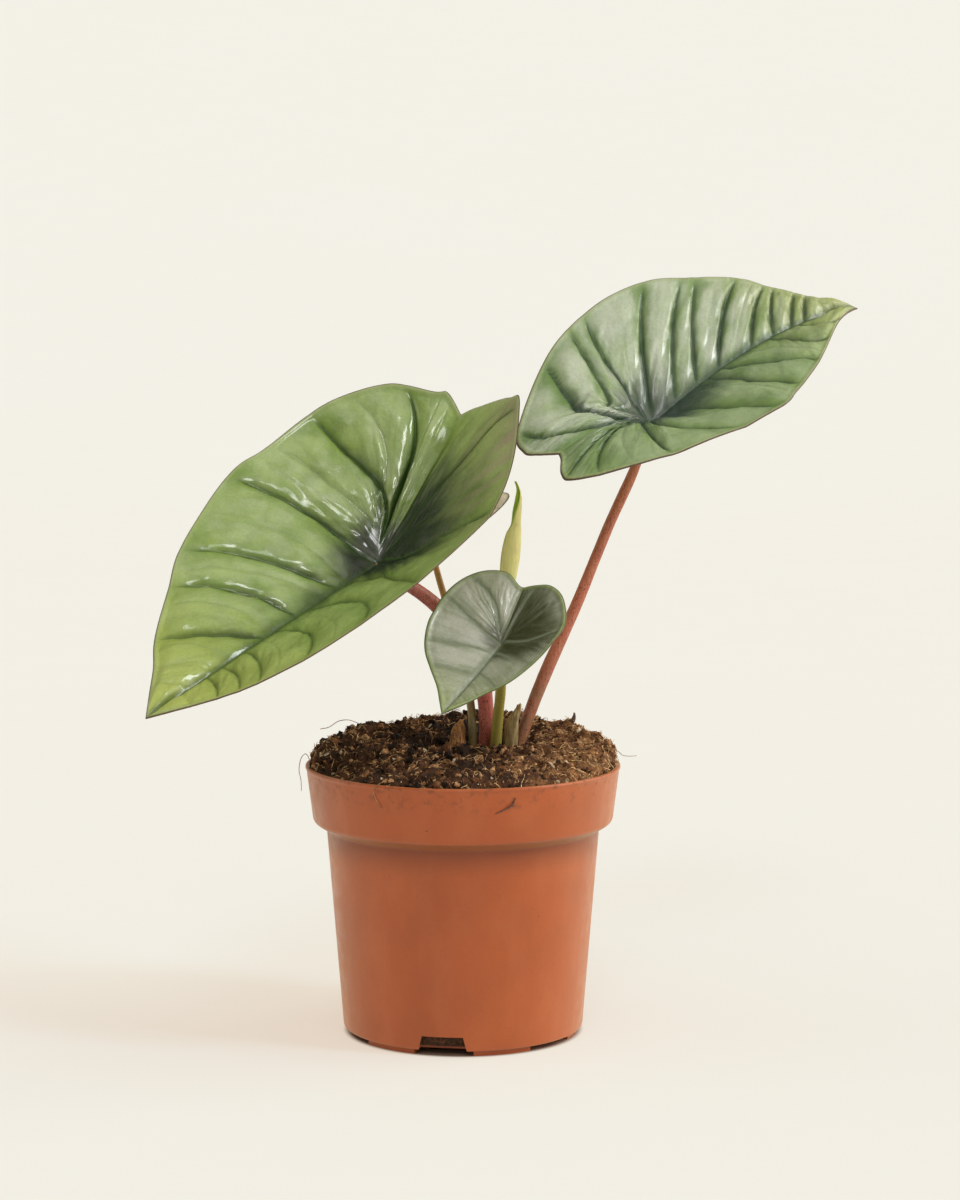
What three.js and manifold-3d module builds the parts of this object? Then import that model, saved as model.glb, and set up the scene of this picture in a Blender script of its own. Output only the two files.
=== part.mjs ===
// Potted alocasia: a moulded nursery pot, a mound of peat, a short rhizome and the leaves that rise from it.
// Millimetres, +Z up, the origin at the middle of the pot's foot plane. The front of the pot faces -Y.

import * as THREE from 'three';
import { mergeVertices } from 'three/addons/utils/BufferGeometryUtils.js';
import Module from 'manifold-3d';

const wasm = await Module();
wasm.setup();

// Clearance between neighbouring pieces, and the number of facets round the pot
const GAP = 0.35;
const POT_FACETS = 48;

// The pot: outer and inner radii with their heights, from the foot plane up
const POT = {
  wall: 1.2,
  padRadius: 14,
  padSlope: 3,
  floorHeight: 2,
  floorThickness: 1.4,
  bottomRadius: 45.8,
  bodyTopRadius: 52,
  bodyTopHeight: 78.7,
  collarRadius: 57.1,
  collarHeight: 81.8,
  rimRadius: 59.6,
  rimHeight: 103,
  lip: 0.5,
  lipHeight: 1.6,
};

// Feet under the floor's edge, with drain notches through the wall in every second gap
const FEET = { count: 6, innerRadius: 40.8, outerRadius: 43.6, span: 30, firstGap: -9.5 };
const NOTCH = { topWidth: 15.6, footWidth: 19.4, height: 7.6, depth: 9 };

// The peat: its edge, its dome and the hills and hollows on it
const PEAT = {
  edgeHeight: 103.2,
  dome: 7.6,
  clump: 1.7,
  clumpSize: 5.2,
  rings: [0, 0.1, 0.19, 0.28, 0.37, 0.46, 0.55, 0.64, 0.73, 0.81, 0.88, 0.94, 0.98, 1],
};
const PEAT_FORMS = [
  { at: [12, 36], size: [44, 17], height: 7.4 },
  { at: [48, 8], size: [14, 24], height: 4.6 },
  { at: [-42, 12], size: [22, 24], height: 4.6 },
  { at: [8, 1], size: [15, 8], height: -4.4 },
  { at: [-10, -4], size: [7, 5], height: -5 },
  { at: [-48, -30], size: [12, 12], height: -4.6 },
];

// The rhizome, wider than deep, whose flat crown carries every petiole
const RHIZOME = { at: [9, 1.6], crownHeight: 97, radius: 14.6, depth: 17, squeeze: 0.62 };

// Blade construction: main veins from the tip to the sinus, counted on each half
const VEINS = 12;
const INSERTION_VEIN = 6;
const LOBE_VEIN = 9;
const LOBE_RIB_SHARE = 0.3;
const VEIN_BOW = 0.1;

// Each leaf: the petiole joint, the ways its tip and its face point, and the blade's form.
// midrib: slope and bend forward of the joint, then slope and bend behind it.
// fold: how steeply a half rises from the midrib at the tip, the joint and the lobe, then its cupping.
// outline: millimetres and degrees from the joint to the end of each main vein, 0 degrees at the tip.
const LEFT_LEAF = {
  joint: [-31.7, -19.4, 181.7],
  tipward: [-0.64, -0.653, -0.405],
  faceward: [-0.086, -0.463, 0.882],
  midrib: [0.035, -0.007, 0.631, 0.076],
  relief: 0.75,
  thickness: 0.8,
  keel: 1.1,
  divisions: 3,
  rows: 7,
  halves: [
    {
      side: 1,
      fold: [0.16, 0.4, 0.455, -0.299, -0.175],
      outline: [
        [122.3, 0], [111.5, 5.3], [105, 9.7], [99.5, 14.4], [92.5, 19.6], [83.5, 27.8], [71.5, 41.2],
        [64, 61.6], [58.5, 99], [60, 146.3], [60, 157], [55.5, 172.3], [53.5, 180],
      ],
    },
    {
      side: -1,
      fold: [0.207, 0.487, 0.251, -0.003, -0.165],
      outline: [
        [122.3, 0], [111.5, 4.5], [103, 9], [94, 16.3], [80, 29.6], [71, 46], [61.5, 75.6],
        [57, 94.6], [57, 121], [57.5, 146.5], [56.5, 166], [57.5, 171.4], [53.5, 180],
      ],
    },
  ],
};

const RIGHT_LEAF = {
  joint: [71.3, 4.6, 232.2],
  tipward: [0.766, 0.638, 0.073],
  faceward: [0.203, -0.35, 0.915],
  midrib: [0.801, -0.404, 0.332, -0.542],
  relief: 0.95,
  thickness: 0.8,
  keel: 1,
  divisions: 3,
  rows: 7,
  halves: [
    {
      side: 1,
      fold: [0.347, 0.52, 0.072, 0.002, 0.131],
      outline: [
        [98.6, 0], [82.5, 6.2], [75.5, 11], [69, 17.4], [64, 26], [54.5, 43.8], [51, 62.3],
        [48, 88], [47.5, 114.3], [51.5, 154], [52.5, 167], [49.5, 173], [44.5, 180],
      ],
    },
    {
      side: -1,
      fold: [0.263, 0.554, 0.237, 0.091, 0.038],
      outline: [
        [98.6, 0], [80, 6.6], [60, 28.4], [54.5, 42.5], [51, 61.4], [50, 76], [48, 117.3],
        [49.5, 131.5], [52.5, 149.6], [54.5, 162.5], [52, 169], [46.5, 175.8], [44.5, 180],
      ],
    },
  ],
};

const SMALL_LEAF = {
  joint: [14.2, -34.3, 153],
  tipward: [-0.457, -0.542, -0.705],
  faceward: [-0.233, -0.692, 0.683],
  midrib: [0.202, 0.072, 0.36, -0.05],
  relief: 0.3,
  thickness: 0.7,
  keel: 0.6,
  divisions: 2,
  rows: 5,
  halves: [
    {
      side: 1,
      fold: [0.218, 0.328, 0.149, -0.136, 0.078],
      outline: [
        [41.6, 0], [37.3, 6], [33.2, 13.2], [29.7, 22.5], [28.2, 33.8], [26.5, 47.6], [25.2, 68.3],
        [25.4, 87.7], [26.3, 113.8], [27.7, 140.5], [27.2, 156.6], [24.5, 169], [22.3, 180],
      ],
    },
    {
      side: -1,
      fold: [0.273, 0.32, 0.243, -0.119, -0.044],
      outline: [
        [41.6, 0], [36.7, 6], [31.8, 15], [28.5, 29.4], [27, 45.5], [25.8, 62], [25.3, 81.2],
        [25.8, 104.5], [26.8, 125.3], [27.2, 143.6], [26.3, 162], [22.4, 175], [22.3, 180],
      ],
    },
  ],
};

// The old leaf behind the plant has two halves alike
const BACK_HALF_FOLD = [0.15, 0.3, 0.2, 0, 0.05];
const BACK_HALF_OUTLINE = [
  [66, 0], [56, 6], [48, 14], [41, 26], [36, 40], [33, 56], [31.5, 74],
  [31, 93], [31.5, 114], [34, 136], [35.5, 150], [32, 165], [25, 180],
];
const BACK_LEAF = {
  joint: [-13.6, 22.5, 186.8],
  tipward: [-0.835, 0.317, -0.45],
  faceward: [-0.28, 0.447, 0.84],
  midrib: [0.1, -0.15, 0.2, 0],
  relief: 0.4,
  thickness: 0.7,
  keel: 0.5,
  divisions: 2,
  rows: 4,
  halves: [
    { side: 1, fold: BACK_HALF_FOLD, outline: BACK_HALF_OUTLINE },
    { side: -1, fold: BACK_HALF_FOLD, outline: BACK_HALF_OUTLINE },
  ],
};

// Petioles: points along the stalk from the rhizome's crown to below the blade, and radii along it
const CROWN_END = RHIZOME.crownHeight + GAP;
const PETIOLES = {
  petiole_left: {
    leaf: LEFT_LEAF,
    path: [
      [8.2, 2.5, CROWN_END], [8.2, 2.5, 103], [8.4, 2.4, 108], [8.9, 1.2, 120], [7.6, -1.8, 133],
      [1.2, -7.6, 150.5], [-10.2, -13, 165.2], [-20.5, -16.4, 173.2],
    ],
    radii: [2.5, 2.6, 3, 3.4, 3.2, 2.8, 2.3],
    colour: 0x9c5a55,
  },
  petiole_right: {
    leaf: RIGHT_LEAF,
    path: [
      [18.8, 0, CROWN_END], [19.2, 0, 102], [20, 0, 105.8], [22.5, 0.7, 113.8], [29.7, 2, 133.2],
      [43.8, 3.3, 165.3], [55.9, 4.7, 194.9], [63.7, 5.4, 212.5],
    ],
    radii: [2.2, 2.3, 2.5, 2.3, 2.1, 2, 1.9],
    colour: 0x9c6453,
  },
  petiole_small: {
    leaf: SMALL_LEAF,
    path: [
      [12.3, -2.2, CROWN_END], [12.3, -2.2, 103], [12.4, -2.4, 108.3], [13.2, -5, 120.2],
      [14.6, -13, 134.6], [14.8, -23, 144.5],
    ],
    radii: [2.1, 2.2, 2.1, 1.9, 1.6, 1.3],
    colour: 0xa29a48,
  },
  petiole_back: {
    leaf: BACK_LEAF,
    path: [
      [4.2, -1.6, CROWN_END], [4.2, -1.6, 103], [3.9, -1.2, 108], [3, 1.5, 124.9], [-2.2, 9, 148],
      [-8, 15, 168], [-10.2, 17.6, 175.5],
    ],
    radii: [1.5, 1.55, 1.55, 1.5, 1.4, 1.3, 1.2],
    colour: 0x8a7440,
  },
};
const PETIOLE_SIDES = 10;
const PETIOLE_STEPS = 16;

// The rolled young leaf: centre, height and radius of the roll, from its foot to its tip, and its stalk
const ROLL = {
  stations: [
    { at: [15.9, 8, 160], radius: 1.9 },
    { at: [16.5, 8, 168], radius: 2.9 },
    { at: [17.9, 8, 177], radius: 3.4 },
    { at: [18.6, 8, 184], radius: 3.6 },
    { at: [19.2, 8, 190.4], radius: 3.2 },
    { at: [20, 8, 194], radius: 2.5 },
    { at: [20.4, 8, 199], radius: 2.2 },
    { at: [20.9, 8, 203.4], radius: 1.7 },
    { at: [21, 8, 207], radius: 0.9 },
    { at: [19.9, 8, 210.2], radius: 0.6 },
  ],
  turns: 1.3,
  seam: 200,
  thickness: 0.7,
  points: 15,
};
const ROLL_STALK = {
  path: [
    [12.6, 7, CROWN_END], [12.6, 7, 104], [12.8, 7.2, 112], [13.8, 7.8, 128], [15, 8, 145],
    [15.8, 8, 156.5], [15.9, 8, 158.3],
  ],
  radii: [1.6, 1.6, 1.6, 1.6, 1.65, 1.7, 1.5],
};

// The papery sheath at the foot of the right leaf's petiole, and the stub of an older petiole
const SHEATH = {
  stations: [
    { at: [19.2, -0.3, 101], radius: 3.5, from: 112, to: 292 },
    { at: [19.2, -0.3, 108], radius: 3.6, from: 112, to: 292 },
    { at: [19.3, -0.4, 114], radius: 3.7, from: 118, to: 284 },
    { at: [19.4, -0.6, 119], radius: 3.6, from: 128, to: 276 },
    { at: [19.9, -1, 123.4], radius: 2.9, from: 140, to: 272 },
    { at: [20.6, -1.6, 127], radius: 1.7, from: 150, to: 262 },
  ],
  thickness: 0.7,
  points: 8,
};
const STUB = {
  path: [[-1.9, -2.6, 101], [-1.9, -2.8, 107], [-2.1, -3, 113], [-1.5, -3, 118.6]],
  radii: [2.3, 2.5, 2.4, 1.7],
};

/** A vector from a list of three numbers. */
function vector(list) {
  return new THREE.Vector3(...list);
}

/** Whether a closed geometry's faces point out: its signed volume is above zero. */
function signedVolume(geometry) {
  const position = geometry.getAttribute('position');
  const index = geometry.getIndex();
  const corner = [new THREE.Vector3(), new THREE.Vector3(), new THREE.Vector3()];
  let volume = 0;
  for (let i = 0; i < index.count; i += 3) {
    corner.forEach((point, n) => point.fromBufferAttribute(position, index.getX(i + n)));
    volume += corner[0].dot(corner[1].clone().cross(corner[2])) / 6;
  }
  return volume;
}

/** An indexed geometry from points and triangles, turned so that its faces point out. */
function closedGeometry(points, triangles) {
  const geometry = new THREE.BufferGeometry();
  geometry.setAttribute('position', new THREE.Float32BufferAttribute(points.flatMap((p) => p.toArray()), 3));
  geometry.setIndex(triangles.flat());
  if (signedVolume(geometry) < 0) {
    geometry.setIndex(triangles.flatMap(([a, b, c]) => [a, c, b]));
  }
  geometry.computeVertexNormals();
  return geometry;
}

/** A closed mesh as a solid that can be joined and cut. */
function solidOf(geometry) {
  const bare = geometry.clone();
  bare.deleteAttribute('normal');
  bare.deleteAttribute('uv');
  const merged = mergeVertices(bare, 1e-4);
  return new wasm.Manifold(new wasm.Mesh({
    numProp: 3,
    vertProperties: new Float32Array(merged.getAttribute('position').array),
    triVerts: new Uint32Array(merged.getIndex().array),
  }));
}

/** The mesh of a solid as a three.js geometry. */
function geometryOf(solid) {
  const mesh = solid.getMesh();
  const geometry = new THREE.BufferGeometry();
  geometry.setAttribute('position', new THREE.Float32BufferAttribute(mesh.vertProperties, 3));
  geometry.setIndex(Array.from(mesh.triVerts));
  geometry.computeVertexNormals();
  return geometry;
}

/** A body of revolution about +Z from a profile of [radius, height] points. */
function turned(profile, facets = POT_FACETS) {
  const points = profile.map(([radius, height]) => new THREE.Vector2(radius, height));
  const lathe = new THREE.LatheGeometry(points, facets).rotateX(Math.PI / 2);
  lathe.deleteAttribute('normal');
  lathe.deleteAttribute('uv');
  const merged = mergeVertices(lathe, 1e-4);
  if (signedVolume(merged) < 0) {
    const index = Array.from(merged.getIndex().array);
    merged.setIndex(index.map((_, i) => index[i - (i % 3) + [0, 2, 1][i % 3]]));
  }
  merged.computeVertexNormals();
  return merged;
}

/** Closed body through loops of points, each loop with the same count, its two ends filled by end triangles. */
function loft(loops, endTriangles) {
  const count = loops[0].length;
  const points = loops.flat();
  const triangles = [];
  for (let row = 0; row < loops.length - 1; row += 1) {
    for (let i = 0; i < count; i += 1) {
      const a = row * count + i;
      const b = row * count + ((i + 1) % count);
      triangles.push([a, b, b + count], [a, b + count, a + count]);
    }
  }
  const top = (loops.length - 1) * count;
  for (const [a, b, c] of endTriangles) {
    triangles.push([a, c, b], [top + a, top + b, top + c]);
  }
  return closedGeometry(points, triangles);
}

/** The value of a list of samples at a share from 0 to 1, smoothly between them. */
function sampled(values, share) {
  const curve = new THREE.SplineCurve(values.map((value, i) => new THREE.Vector2(i, value)));
  return curve.getPoint(share).y;
}

/** A round stalk along a path, with radii sampled along it and a domed upper end. */
function stalk(path, radii, sides = PETIOLE_SIDES, steps = PETIOLE_STEPS, grow = 0) {
  const curve = new THREE.CatmullRomCurve3(path.map(vector), false, 'centripetal');
  const frames = curve.computeFrenetFrames(steps, false);
  const ring = (centre, normal, binormal, radius) => Array.from({ length: sides }, (_, i) => {
    const angle = (2 * Math.PI * i) / sides;
    return centre.clone()
      .addScaledVector(normal, radius * Math.cos(angle))
      .addScaledVector(binormal, radius * Math.sin(angle));
  });
  const loops = [];
  for (let i = 0; i <= steps; i += 1) {
    const radius = sampled(radii, i / steps) + grow;
    loops.push(ring(curve.getPointAt(i / steps), frames.normals[i], frames.binormals[i], radius));
  }
  const endRadius = sampled(radii, 1) + grow;
  const tangent = curve.getTangentAt(1);
  for (const angle of [35, 65]) {
    const rise = THREE.MathUtils.degToRad(angle);
    const centre = curve.getPointAt(1).addScaledVector(tangent, endRadius * Math.sin(rise) * 0.8);
    loops.push(ring(centre, frames.normals[steps], frames.binormals[steps], endRadius * Math.cos(rise)));
  }
  const fan = Array.from({ length: sides - 2 }, (_, i) => [0, i + 1, i + 2]);
  return loft(loops, fan);
}

/** A thin sheet bent round an upright axis: each station gives the outer and inner points of its section. */
function bentSheet(sections) {
  const count = sections[0].outer.length;
  const loops = sections.map(({ outer, inner }) => [...outer, ...inner.slice().reverse()]);
  const across = [];
  for (let i = 0; i < count - 1; i += 1) {
    const inner = 2 * count - 1 - i;
    across.push([i, i + 1, inner - 1], [i, inner - 1, inner]);
  }
  return loft(loops, across);
}

/** Point at a radius and angle in degrees about an upright axis. */
function around(centre, radius, angle) {
  const turn = THREE.MathUtils.degToRad(angle);
  return vector(centre).add(new THREE.Vector3(radius * Math.cos(turn), radius * Math.sin(turn), 0));
}

/** The pot: one moulded wall and floor on six low feet, with three drain notches. */
function potGeometry() {
  const { wall, floorHeight, floorThickness, lip, lipHeight } = POT;
  const inner = floorHeight + floorThickness;
  const profile = [
    [0, 0],
    [POT.padRadius, 0],
    [POT.padRadius + POT.padSlope, floorHeight],
    [POT.bottomRadius, floorHeight],
    [POT.bodyTopRadius, POT.bodyTopHeight],
    [POT.collarRadius, POT.collarHeight],
    [POT.rimRadius, POT.rimHeight - lipHeight],
    [POT.rimRadius + lip, POT.rimHeight - lipHeight / 2],
    [POT.rimRadius + lip / 2, POT.rimHeight],
    [POT.rimRadius - wall, POT.rimHeight],
    [POT.collarRadius - wall, POT.collarHeight + wall / 2],
    [POT.bodyTopRadius - wall, POT.bodyTopHeight + wall / 2],
    [POT.bottomRadius - wall, inner],
    [POT.padRadius + POT.padSlope + wall, inner],
    [POT.padRadius + wall, floorThickness],
    [0, floorThickness],
  ];
  let solid = solidOf(turned(profile));
  const pitch = 360 / FEET.count;
  for (let i = 0; i < FEET.count; i += 1) {
    solid = solid.add(solidOf(footGeometry(FEET.firstGap + pitch * (i + 0.5))));
    if (i % 2 === 0) {
      solid = solid.subtract(solidOf(notchGeometry(FEET.firstGap + pitch * i)));
    }
  }
  return geometryOf(solid);
}

/** One foot: an arc under the floor, its angle counted from the front towards +X. */
function footGeometry(angle) {
  const turn = THREE.MathUtils.degToRad(angle - 90);
  const half = THREE.MathUtils.degToRad(FEET.span / 2);
  const outline = new THREE.Shape();
  outline.absarc(0, 0, FEET.outerRadius, turn - half, turn + half, false);
  outline.absarc(0, 0, FEET.innerRadius, turn + half, turn - half, true);
  outline.closePath();
  const height = POT.floorHeight + POT.floorThickness / 2;
  return new THREE.ExtrudeGeometry(outline, { depth: height, bevelEnabled: false, curveSegments: 5 });
}

/** The prism that opens a drain notch in the wall and the floor's edge. */
function notchGeometry(angle) {
  const drop = 3;
  const spread = (NOTCH.footWidth - NOTCH.topWidth) / NOTCH.height;
  const foot = NOTCH.footWidth / 2 + (spread * drop) / 2;
  const outline = new THREE.Shape([
    new THREE.Vector2(-foot, -drop),
    new THREE.Vector2(foot, -drop),
    new THREE.Vector2(NOTCH.topWidth / 2, NOTCH.height),
    new THREE.Vector2(-NOTCH.topWidth / 2, NOTCH.height),
  ]);
  return new THREE.ExtrudeGeometry(outline, { depth: NOTCH.depth, bevelEnabled: false })
    .rotateX(Math.PI / 2)
    .translate(0, NOTCH.depth / 2 - POT.bottomRadius + NOTCH.depth / 6, 0)
    .rotateZ(THREE.MathUtils.degToRad(angle));
}

/** A repeatable number from 0 to 1 for a cell of a grid. */
function cellNumber(i, j) {
  const wave = Math.sin(i * 127.1 + j * 311.7) * 43758.5453;
  return wave - Math.floor(wave);
}

/** Smooth lumps of the peat at a place, from 0 to 1. */
function lumps(x, y, size) {
  const i = Math.floor(x / size);
  const j = Math.floor(y / size);
  const ease = (t) => t * t * (3 - 2 * t);
  const u = ease(x / size - i);
  const v = ease(y / size - j);
  const low = THREE.MathUtils.lerp(cellNumber(i, j), cellNumber(i + 1, j), u);
  const high = THREE.MathUtils.lerp(cellNumber(i, j + 1), cellNumber(i + 1, j + 1), u);
  return THREE.MathUtils.lerp(low, high, v);
}

/** Height of the peat's surface over a place. */
function peatHeight(x, y) {
  const radius = POT.rimRadius - POT.wall;
  const share = Math.min(1, Math.hypot(x, y) / radius);
  let height = PEAT.edgeHeight + PEAT.dome * (1 - share * share) ** 0.6;
  for (const form of PEAT_FORMS) {
    const across = ((x - form.at[0]) / form.size[0]) ** 2 + ((y - form.at[1]) / form.size[1]) ** 2;
    height += form.height * Math.exp(-across);
  }
  return height + PEAT.clump * 2 * (lumps(x, y, PEAT.clumpSize) - 0.5);
}

/** The peat: it fills the pot, stands in a mound over the rim and has a plain hole for each stem. */
function peatGeometry() {
  const inner = POT.floorHeight + POT.floorThickness + GAP;
  const place = (radius, i) => {
    const angle = (2 * Math.PI * i) / POT_FACETS;
    return [radius * Math.sin(angle), -radius * Math.cos(angle)];
  };
  const topRadius = POT.rimRadius - POT.wall - GAP - 0.4;
  const rings = PEAT.rings.slice(1).map((share) => Array.from({ length: POT_FACETS }, (_, i) => {
    const [x, y] = place(topRadius * share, i);
    return new THREE.Vector3(x, y, peatHeight(x, y));
  }));
  const side = [
    [POT.collarRadius - POT.wall - GAP, POT.collarHeight + POT.wall / 2 + GAP / 2],
    [POT.bodyTopRadius - POT.wall - GAP, POT.bodyTopHeight + POT.wall / 2],
    [POT.bottomRadius - POT.wall - GAP, inner],
  ];
  for (const [radius, height] of side) {
    rings.push(Array.from({ length: POT_FACETS }, (_, i) => new THREE.Vector3(...place(radius, i), height)));
  }
  const points = [new THREE.Vector3(0, 0, peatHeight(0, 0)), ...rings.flat(), new THREE.Vector3(0, 0, inner)];
  const last = points.length - 1;
  const triangles = [];
  for (let i = 0; i < POT_FACETS; i += 1) {
    const next = (i + 1) % POT_FACETS;
    triangles.push([0, 1 + i, 1 + next]);
    for (let ring = 0; ring < rings.length - 1; ring += 1) {
      const a = 1 + ring * POT_FACETS;
      const b = a + POT_FACETS;
      triangles.push([a + i, b + i, b + next], [a + i, b + next, a + next]);
    }
    const base = 1 + (rings.length - 1) * POT_FACETS;
    triangles.push([base + i, last, base + next]);
  }
  let solid = solidOf(closedGeometry(points, triangles));
  const cutters = [
    ...Object.values(PETIOLES).map(({ path, radii }) => stalk(path, radii, 12, PETIOLE_STEPS, 2 * GAP)),
    stalk(ROLL_STALK.path, ROLL_STALK.radii, 12, PETIOLE_STEPS, 2 * GAP),
    stalk(STUB.path, STUB.radii, 12, 6, 2 * GAP).translate(0, 0, -GAP),
    sheathHole(),
    rhizomeGeometry(GAP),
  ];
  for (const cutter of cutters) {
    solid = solid.subtract(solidOf(cutter));
  }
  return geometryOf(solid);
}

/** The round hole in the peat that the sheath stands in. */
function sheathHole() {
  const [x, y, foot] = SHEATH.stations[0].at;
  const radius = SHEATH.stations[2].radius + GAP;
  const depth = 24;
  const floor = foot - GAP;
  return turned([[0, 0], [radius, 0], [radius, depth], [0, depth]], 16).translate(x, y, floor);
}

/** The rhizome, or with a clearance the pocket round it. */
function rhizomeGeometry(clearance = 0) {
  const { radius, depth } = RHIZOME;
  const top = clearance;
  const profile = [
    [0, top],
    [radius * 0.92 + clearance, top],
    [radius + clearance, -depth * 0.14],
    [radius * 0.98 + clearance, -depth * 0.4],
    [radius * 0.8 + clearance, -depth * 0.72],
    [radius * 0.45 + clearance, -depth * 0.94 - clearance],
    [0, -depth - clearance],
  ];
  return turned(profile, 20)
    .scale(1, RHIZOME.squeeze, 1)
    .translate(RHIZOME.at[0], RHIZOME.at[1], RHIZOME.crownHeight);
}

/** Height of a blade over its flat outline: the midrib's line and the fold of the half. */
function bladeHeight(leaf, half, x, y) {
  const [rise, bend, backRise, backBend] = leaf.midrib;
  const [tipFold, jointFold, lobeFold, cup, lobeCup] = half.fold;
  const length = half.outline[0][0];
  const ahead = THREE.MathUtils.clamp(x / length, 0, 1);
  const behind = THREE.MathUtils.clamp(-x / (length / 2), 0, 1);
  const line = x > 0 ? rise * x + (bend * x * x) / length : -backRise * x + (backBend * x * x) / (length / 2);
  const slope = jointFold + (tipFold - jointFold) * ahead * (2 - ahead)
    + (lobeFold - jointFold) * behind * (2 - behind);
  const cupping = cup + (lobeCup - cup) * behind;
  return line + slope * Math.abs(y) - (cupping * y * y) / (length / 2);
}

/** Where the vein line that ends at place k of the outline leaves the midrib or the lobe's rib. */
function veinStart(half, k) {
  if (k <= INSERTION_VEIN) {
    return new THREE.Vector2(half.outline[0][0] * (1 - k / INSERTION_VEIN), 0);
  }
  const rib = outlinePoint(half, LOBE_VEIN);
  const share = k <= LOBE_VEIN
    ? (k - INSERTION_VEIN) / (LOBE_VEIN - INSERTION_VEIN)
    : (VEINS - k) / (VEINS - LOBE_VEIN);
  return rib.multiplyScalar(LOBE_RIB_SHARE * share);
}

/** Point of a half's outline at place k, from 0 at the tip to 12 at the sinus. */
function outlinePoint(half, k) {
  const corners = half.outline.map(([radius, degrees]) => {
    const angle = THREE.MathUtils.degToRad(degrees);
    return new THREE.Vector2(radius * Math.cos(angle), half.side * radius * Math.sin(angle));
  });
  return new THREE.SplineCurve(corners).getPoint(k / VEINS);
}

/** Point on the flat blade: along the vein line of place k, at a share of the way out to the margin. */
function flatPoint(half, k, share) {
  const start = veinStart(half, k);
  const end = outlinePoint(half, k);
  const span = end.clone().sub(start);
  const lobeShare = THREE.MathUtils.clamp((k - INSERTION_VEIN) / (LOBE_VEIN - INSERTION_VEIN), 0, 1);
  const bow = new THREE.Vector2(-span.y, span.x).multiplyScalar(half.side * VEIN_BOW * (1 - lobeShare));
  const middle = start.clone().add(end).multiplyScalar(0.5).add(bow);
  return new THREE.QuadraticBezierCurve(start, middle, end).getPoint(share);
}

/** Relief over the veins: the blade dips along each main vein and swells between them, less where they crowd. */
function reliefHeight(leaf, k, share) {
  const fade = Math.sin(Math.PI * Math.min(1, share * 0.8 + 0.12)) ** 0.7;
  const room = k > INSERTION_VEIN ? 0.7 * Math.min(1, share * 1.4) : 1;
  return -leaf.relief * Math.cos(2 * Math.PI * k) * fade * room * Math.min(1, k, VEINS - k);
}

/** A blade: an upper face along the veins, an under face below it and the margin between them. */
function bladeGeometry(leaf) {
  const columns = VEINS * leaf.divisions;
  const places = new Map();
  const upper = [];
  const rib = [];
  const faces = [];
  const pointAt = (half, column, row) => {
    const k = column / leaf.divisions;
    const share = row / leaf.rows;
    const flat = flatPoint(half, k, share);
    const key = `${flat.x.toFixed(3)},${Math.abs(flat.y) < 1e-3 ? 0 : flat.y.toFixed(3)}`;
    if (!places.has(key)) {
      places.set(key, upper.length);
      const height = bladeHeight(leaf, half, flat.x, flat.y) + reliefHeight(leaf, k, share);
      upper.push(new THREE.Vector3(flat.x, flat.y, height));
      rib.push(row === 0 ? Math.min(1, k / INSERTION_VEIN, (VEINS - k) / INSERTION_VEIN) : 0);
    }
    return places.get(key);
  };
  for (const half of leaf.halves) {
    for (let column = 0; column < columns; column += 1) {
      for (let row = 0; row < leaf.rows; row += 1) {
        const a = pointAt(half, column, row);
        const b = pointAt(half, column, row + 1);
        const c = pointAt(half, column + 1, row + 1);
        const d = pointAt(half, column + 1, row);
        for (const face of [[a, b, c], [a, c, d]]) {
          if (new Set(face).size === 3) {
            faces.push(half.side > 0 ? face : face.toReversed());
          }
        }
      }
    }
  }
  const lower = underside(leaf, upper, faces, rib);
  const geometry = closedGeometry([...upper, ...lower], [...faces, ...rimFaces(faces, upper.length)]);
  return geometry.applyMatrix4(bladeMatrix(leaf));
}

/** Points below the upper face by the blade's thickness, deeper along the midrib. */
function underside(leaf, upper, faces, rib) {
  const skin = new THREE.BufferGeometry();
  skin.setAttribute('position', new THREE.Float32BufferAttribute(upper.flatMap((p) => p.toArray()), 3));
  skin.setIndex(faces.flat());
  skin.computeVertexNormals();
  const normals = skin.getAttribute('normal');
  return upper.map((point, i) => {
    const normal = new THREE.Vector3().fromBufferAttribute(normals, i);
    return point.clone().addScaledVector(normal, -(leaf.thickness + leaf.keel * rib[i]));
  });
}

/** The under faces and the strip round the margin that close an upper face. */
function rimFaces(faces, offset) {
  const edges = new Map();
  const out = [];
  for (const [a, b, c] of faces) {
    out.push([c + offset, b + offset, a + offset]);
    for (const [from, to] of [[a, b], [b, c], [c, a]]) {
      const back = `${to}-${from}`;
      if (edges.has(back)) {
        edges.delete(back);
      } else {
        edges.set(`${from}-${to}`, [from, to]);
      }
    }
  }
  for (const [from, to] of edges.values()) {
    out.push([to, from, from + offset], [to, from + offset, to + offset]);
  }
  return out;
}

/** Places a blade: +X to the tip, +Z out of its face, the joint at the origin. */
function bladeMatrix(leaf) {
  const tipward = vector(leaf.tipward).normalize();
  const faceward = vector(leaf.faceward);
  faceward.addScaledVector(tipward, -faceward.dot(tipward)).normalize();
  const sideways = faceward.clone().cross(tipward);
  return new THREE.Matrix4().makeBasis(tipward, sideways, faceward).setPosition(vector(leaf.joint));
}

/** A petiole's path with its end just under the blade's rib at the joint. */
function petiolePath({ leaf, path, radii }) {
  const tipward = vector(leaf.tipward).normalize();
  const faceward = vector(leaf.faceward);
  faceward.addScaledVector(tipward, -faceward.dot(tipward)).normalize();
  const ribDepth = leaf.thickness + leaf.keel + GAP;
  const end = vector(leaf.joint).addScaledVector(faceward, -ribDepth - radii.at(-1) * 0.9);
  return [...path, end.toArray()];
}

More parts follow.
